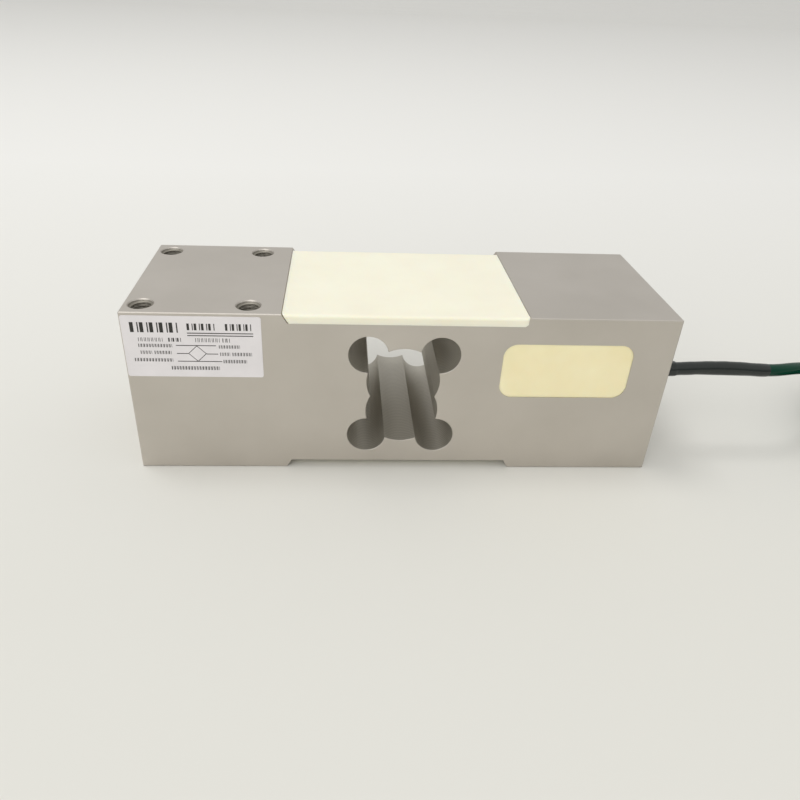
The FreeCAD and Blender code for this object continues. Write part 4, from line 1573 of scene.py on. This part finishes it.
@dataclass
class StrippedEnd:
    """Six insulated cores with tinned tips, and the shield's drain wire."""

    cable: SignalCable
    core_radius: float = 0.00055
    core_lip: float = 0.86
    core_steps: int = 40
    core_sides: int = 16
    line_steps: int = 10
    strand_radius: float = 0.00035
    strand_swell: float = 1.02
    strands: int = 6
    strand_sides: int = 6
    fewest_steps: int = 6
    steps_per_twist: int = 14
    ring: float = 0.00135
    ground_gap: float = 0.00005
    tip_length: float = 0.005
    tip_hidden: Pair = (0.001, 0.0005)
    tip_twist: float = 0.006
    drain_twist: float = 0.007
    drain_fan: float = 1.0
    # Where each core leaves the cable and how far it turns aside, in degrees.
    cores: tuple[tuple[str, float, float], ...] = (
        ("red", -30.0, 27.0), ("black", 30.0, 16.0), ("white", 90.0, 6.0),
        ("green", 270.0, -4.0), ("blue", 150.0, -15.0), ("yellow", 210.0, -26.0),
    )
    # Millimetres along, and the shares of the turn and of the way to the ground.
    runs: tuple[Point, ...] = (
        (6.5, 0.0, 0.0), (9.5, 1.0, 0.45), (10.0, 0.72, 1.0), (9.0, 0.4, 1.0),
    )

    def line_out(self, start: Vector, fan: float, place: Matrix) -> Line:
        """The line of one core, out of the sleeve and down to the ground.

        Args:
            start: Where it starts, in the cable end's own frame.
            fan: How far it turns aside, in degrees.
            place: The cable end's frame.

        Returns:
            The line.
        """
        rest = self.core_radius + self.ground_gap - place.translation.z
        points = [start]
        for run, share, down in self.runs:
            turn = math.radians(fan * share)
            level = start.z + (rest - start.z) * down
            step = Vector((run * MM * math.cos(turn), run * MM * math.sin(turn), 0.0))
            step.z = level - points[-1].z
            points.append(points[-1] + step)
        return smooth_line([place @ point for point in points], self.line_steps)

    def end_frame(self) -> Matrix:
        """The cable end's own frame.

        Returns:
            The frame, with X along the cable.
        """
        before, last = self.cable.route()[-2:]
        along = (last - before).normalized()
        turn = math.atan2(along.y, along.x)
        return Matrix.Translation(last) @ Matrix.Rotation(turn, 4, "Z")

    def add_strands(self, mesh: BMesh, line: Line, start: float, pitch: float) -> None:
        """Adds bare strands twisted together, six round one.

        Args:
            mesh: The mesh to add to.
            line: The line that they follow to its end.
            start: Where they start along it.
            pitch: Length of one twist.
        """
        # Three strands lie side by side across the twist.
        thin = self.strand_radius / 3.0
        twists = (line.length - start) / pitch
        steps = max(round(twists * self.steps_per_twist), self.fewest_steps)
        frames = line.frames(start, line.length, steps)
        radii = [thin * self.strand_swell] * len(frames)
        add_tube(mesh, frames, radii, self.strand_sides)
        for strand in range(self.strands):
            twisted = []
            for step, frame in enumerate(frames):
                turn = math.tau * (strand / self.strands + twists * step / steps)
                shift = Vector((math.cos(turn), math.sin(turn), 0.0)) * thin * 2.0
                twisted.append(frame @ Matrix.Translation(shift))
            add_tube(mesh, twisted, radii, self.strand_sides)

    def make_core(self, colour: str, line: Line) -> Piece:
        """Makes one insulated core.

        Args:
            colour: Its colour's name.
            line: The line that it follows.

        Returns:
            The core.
        """
        mesh = bmesh.new()
        frames = line.frames(0.0, line.length, self.core_steps)
        radii = [self.core_radius] * len(frames)
        radii[0] = radii[-1] = self.core_radius * self.core_lip
        add_tube(mesh, frames, radii, self.core_sides)
        slot = Slot(f"{colour}_core")
        finish = Plastic(slot.value, CORE_COLOURS[colour])
        core = finish_piece(mesh, f"stripped_core_{colour}", finish)
        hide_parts(f"core_{colour}")
        return core

    def build(self) -> list[Piece]:
        """Makes the cores, their tips and the drain wire.

        Returns:
            The pieces.
        """
        place = self.end_frame()
        pieces = []
        tips = bmesh.new()
        back, start = self.tip_hidden
        for colour, seat, fan in self.cores:
            turn = math.radians(seat)
            seated = Vector((0.0, self.ring * math.cos(turn), self.ring * math.sin(turn)))
            line = self.line_out(seated, fan, place)
            pieces.append(self.make_core(colour, line))
            end = line.points[-1]
            ahead = end + line.heading(line.length) * self.tip_length
            beyond = Line([line.at(line.length - back), end, ahead])
            self.add_strands(tips, beyond, start, self.tip_twist)
        tinned = finish_piece(tips, "tinned_strands", TINNED)
        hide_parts("tinned_tips")
        drain = bmesh.new()
        line = self.line_out(Vector(), self.drain_fan, place)
        self.add_strands(drain, line, 0.0, self.drain_twist)
        bare = finish_piece(drain, "shield_drain", TINNED)
        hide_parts("drain_wire")
        return [*pieces, tinned, bare]


# Parts that keep their solids


@dataclass
class CastInParts:
    """Gauges, leads, board, resistors and joints under the silicone, and the label."""

    nodes: dict[str, Piece]
    sides: tuple[str, ...] = ("top_left", "top_right", "bottom_left", "bottom_right")
    resistors: tuple[str, ...] = (
        "span_resistor_plus", "zero_balance_resistor", "zero_drift_resistor",
        "input_resistor", "span_resistor_minus",
    )

    def build(self) -> None:
        """Dresses every node that keeps its own shape."""
        looks = (
            (GAUGE_FILM, [f"gauge_{side}" for side in self.sides]),
            (LEAD_ENAMEL, [f"gauge_leads_{side}" for side in self.sides]),
            (LAMINATE, ["trimming_board"]),
            (CHIP_BLACK, self.resistors),
            (SOLDER, ["solder_joints"]),
            (POCKET_CORES, ["pocket_cores"]),
            (LABEL_FILM, ["front_label"]),
        )
        for finish, names in looks:
            for name in names:
                self.nodes[name].material_slots[0].material = material_of(finish)


def main() -> None:
    """Builds the load cell, one sub-assembly after another."""
    logging.basicConfig(level=logging.INFO, format="%(name)s %(message)s")
    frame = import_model()
    nodes = frame["nodes"]
    Studio().build()

    cable = SignalCable()
    jacket = cable.build()
    on_cable = ShrinkSleeves(cable).build()
    on_cable += CoilTies().build()
    on_cable += StrippedEnd(cable).build()

    SpringElement(nodes["spring_element"]).build()
    PottedRecess(
        "top_silicone", "top_potting", floor=0.0597, up=1.0, fill=0.00305,
        front=-0.03258, back=0.0325, nose=0.0009, lap_round=0.0009,
        back_fall=0.0046, back_power=2.6, corner=0.0008,
    ).build()
    PottedRecess(
        "bottom_silicone", "bottom_potting", floor=0.0033, up=-1.0, fill=0.0020,
        front=-0.0290, back=0.0290, nose=0.0012,
        back_fall=0.0016, back_power=2.2, corner=0.0030,
    ).build()
    PocketFill().build()
    LabelPrint().build()
    CastInParts(nodes).build()


if __name__ == "__main__":
    main()
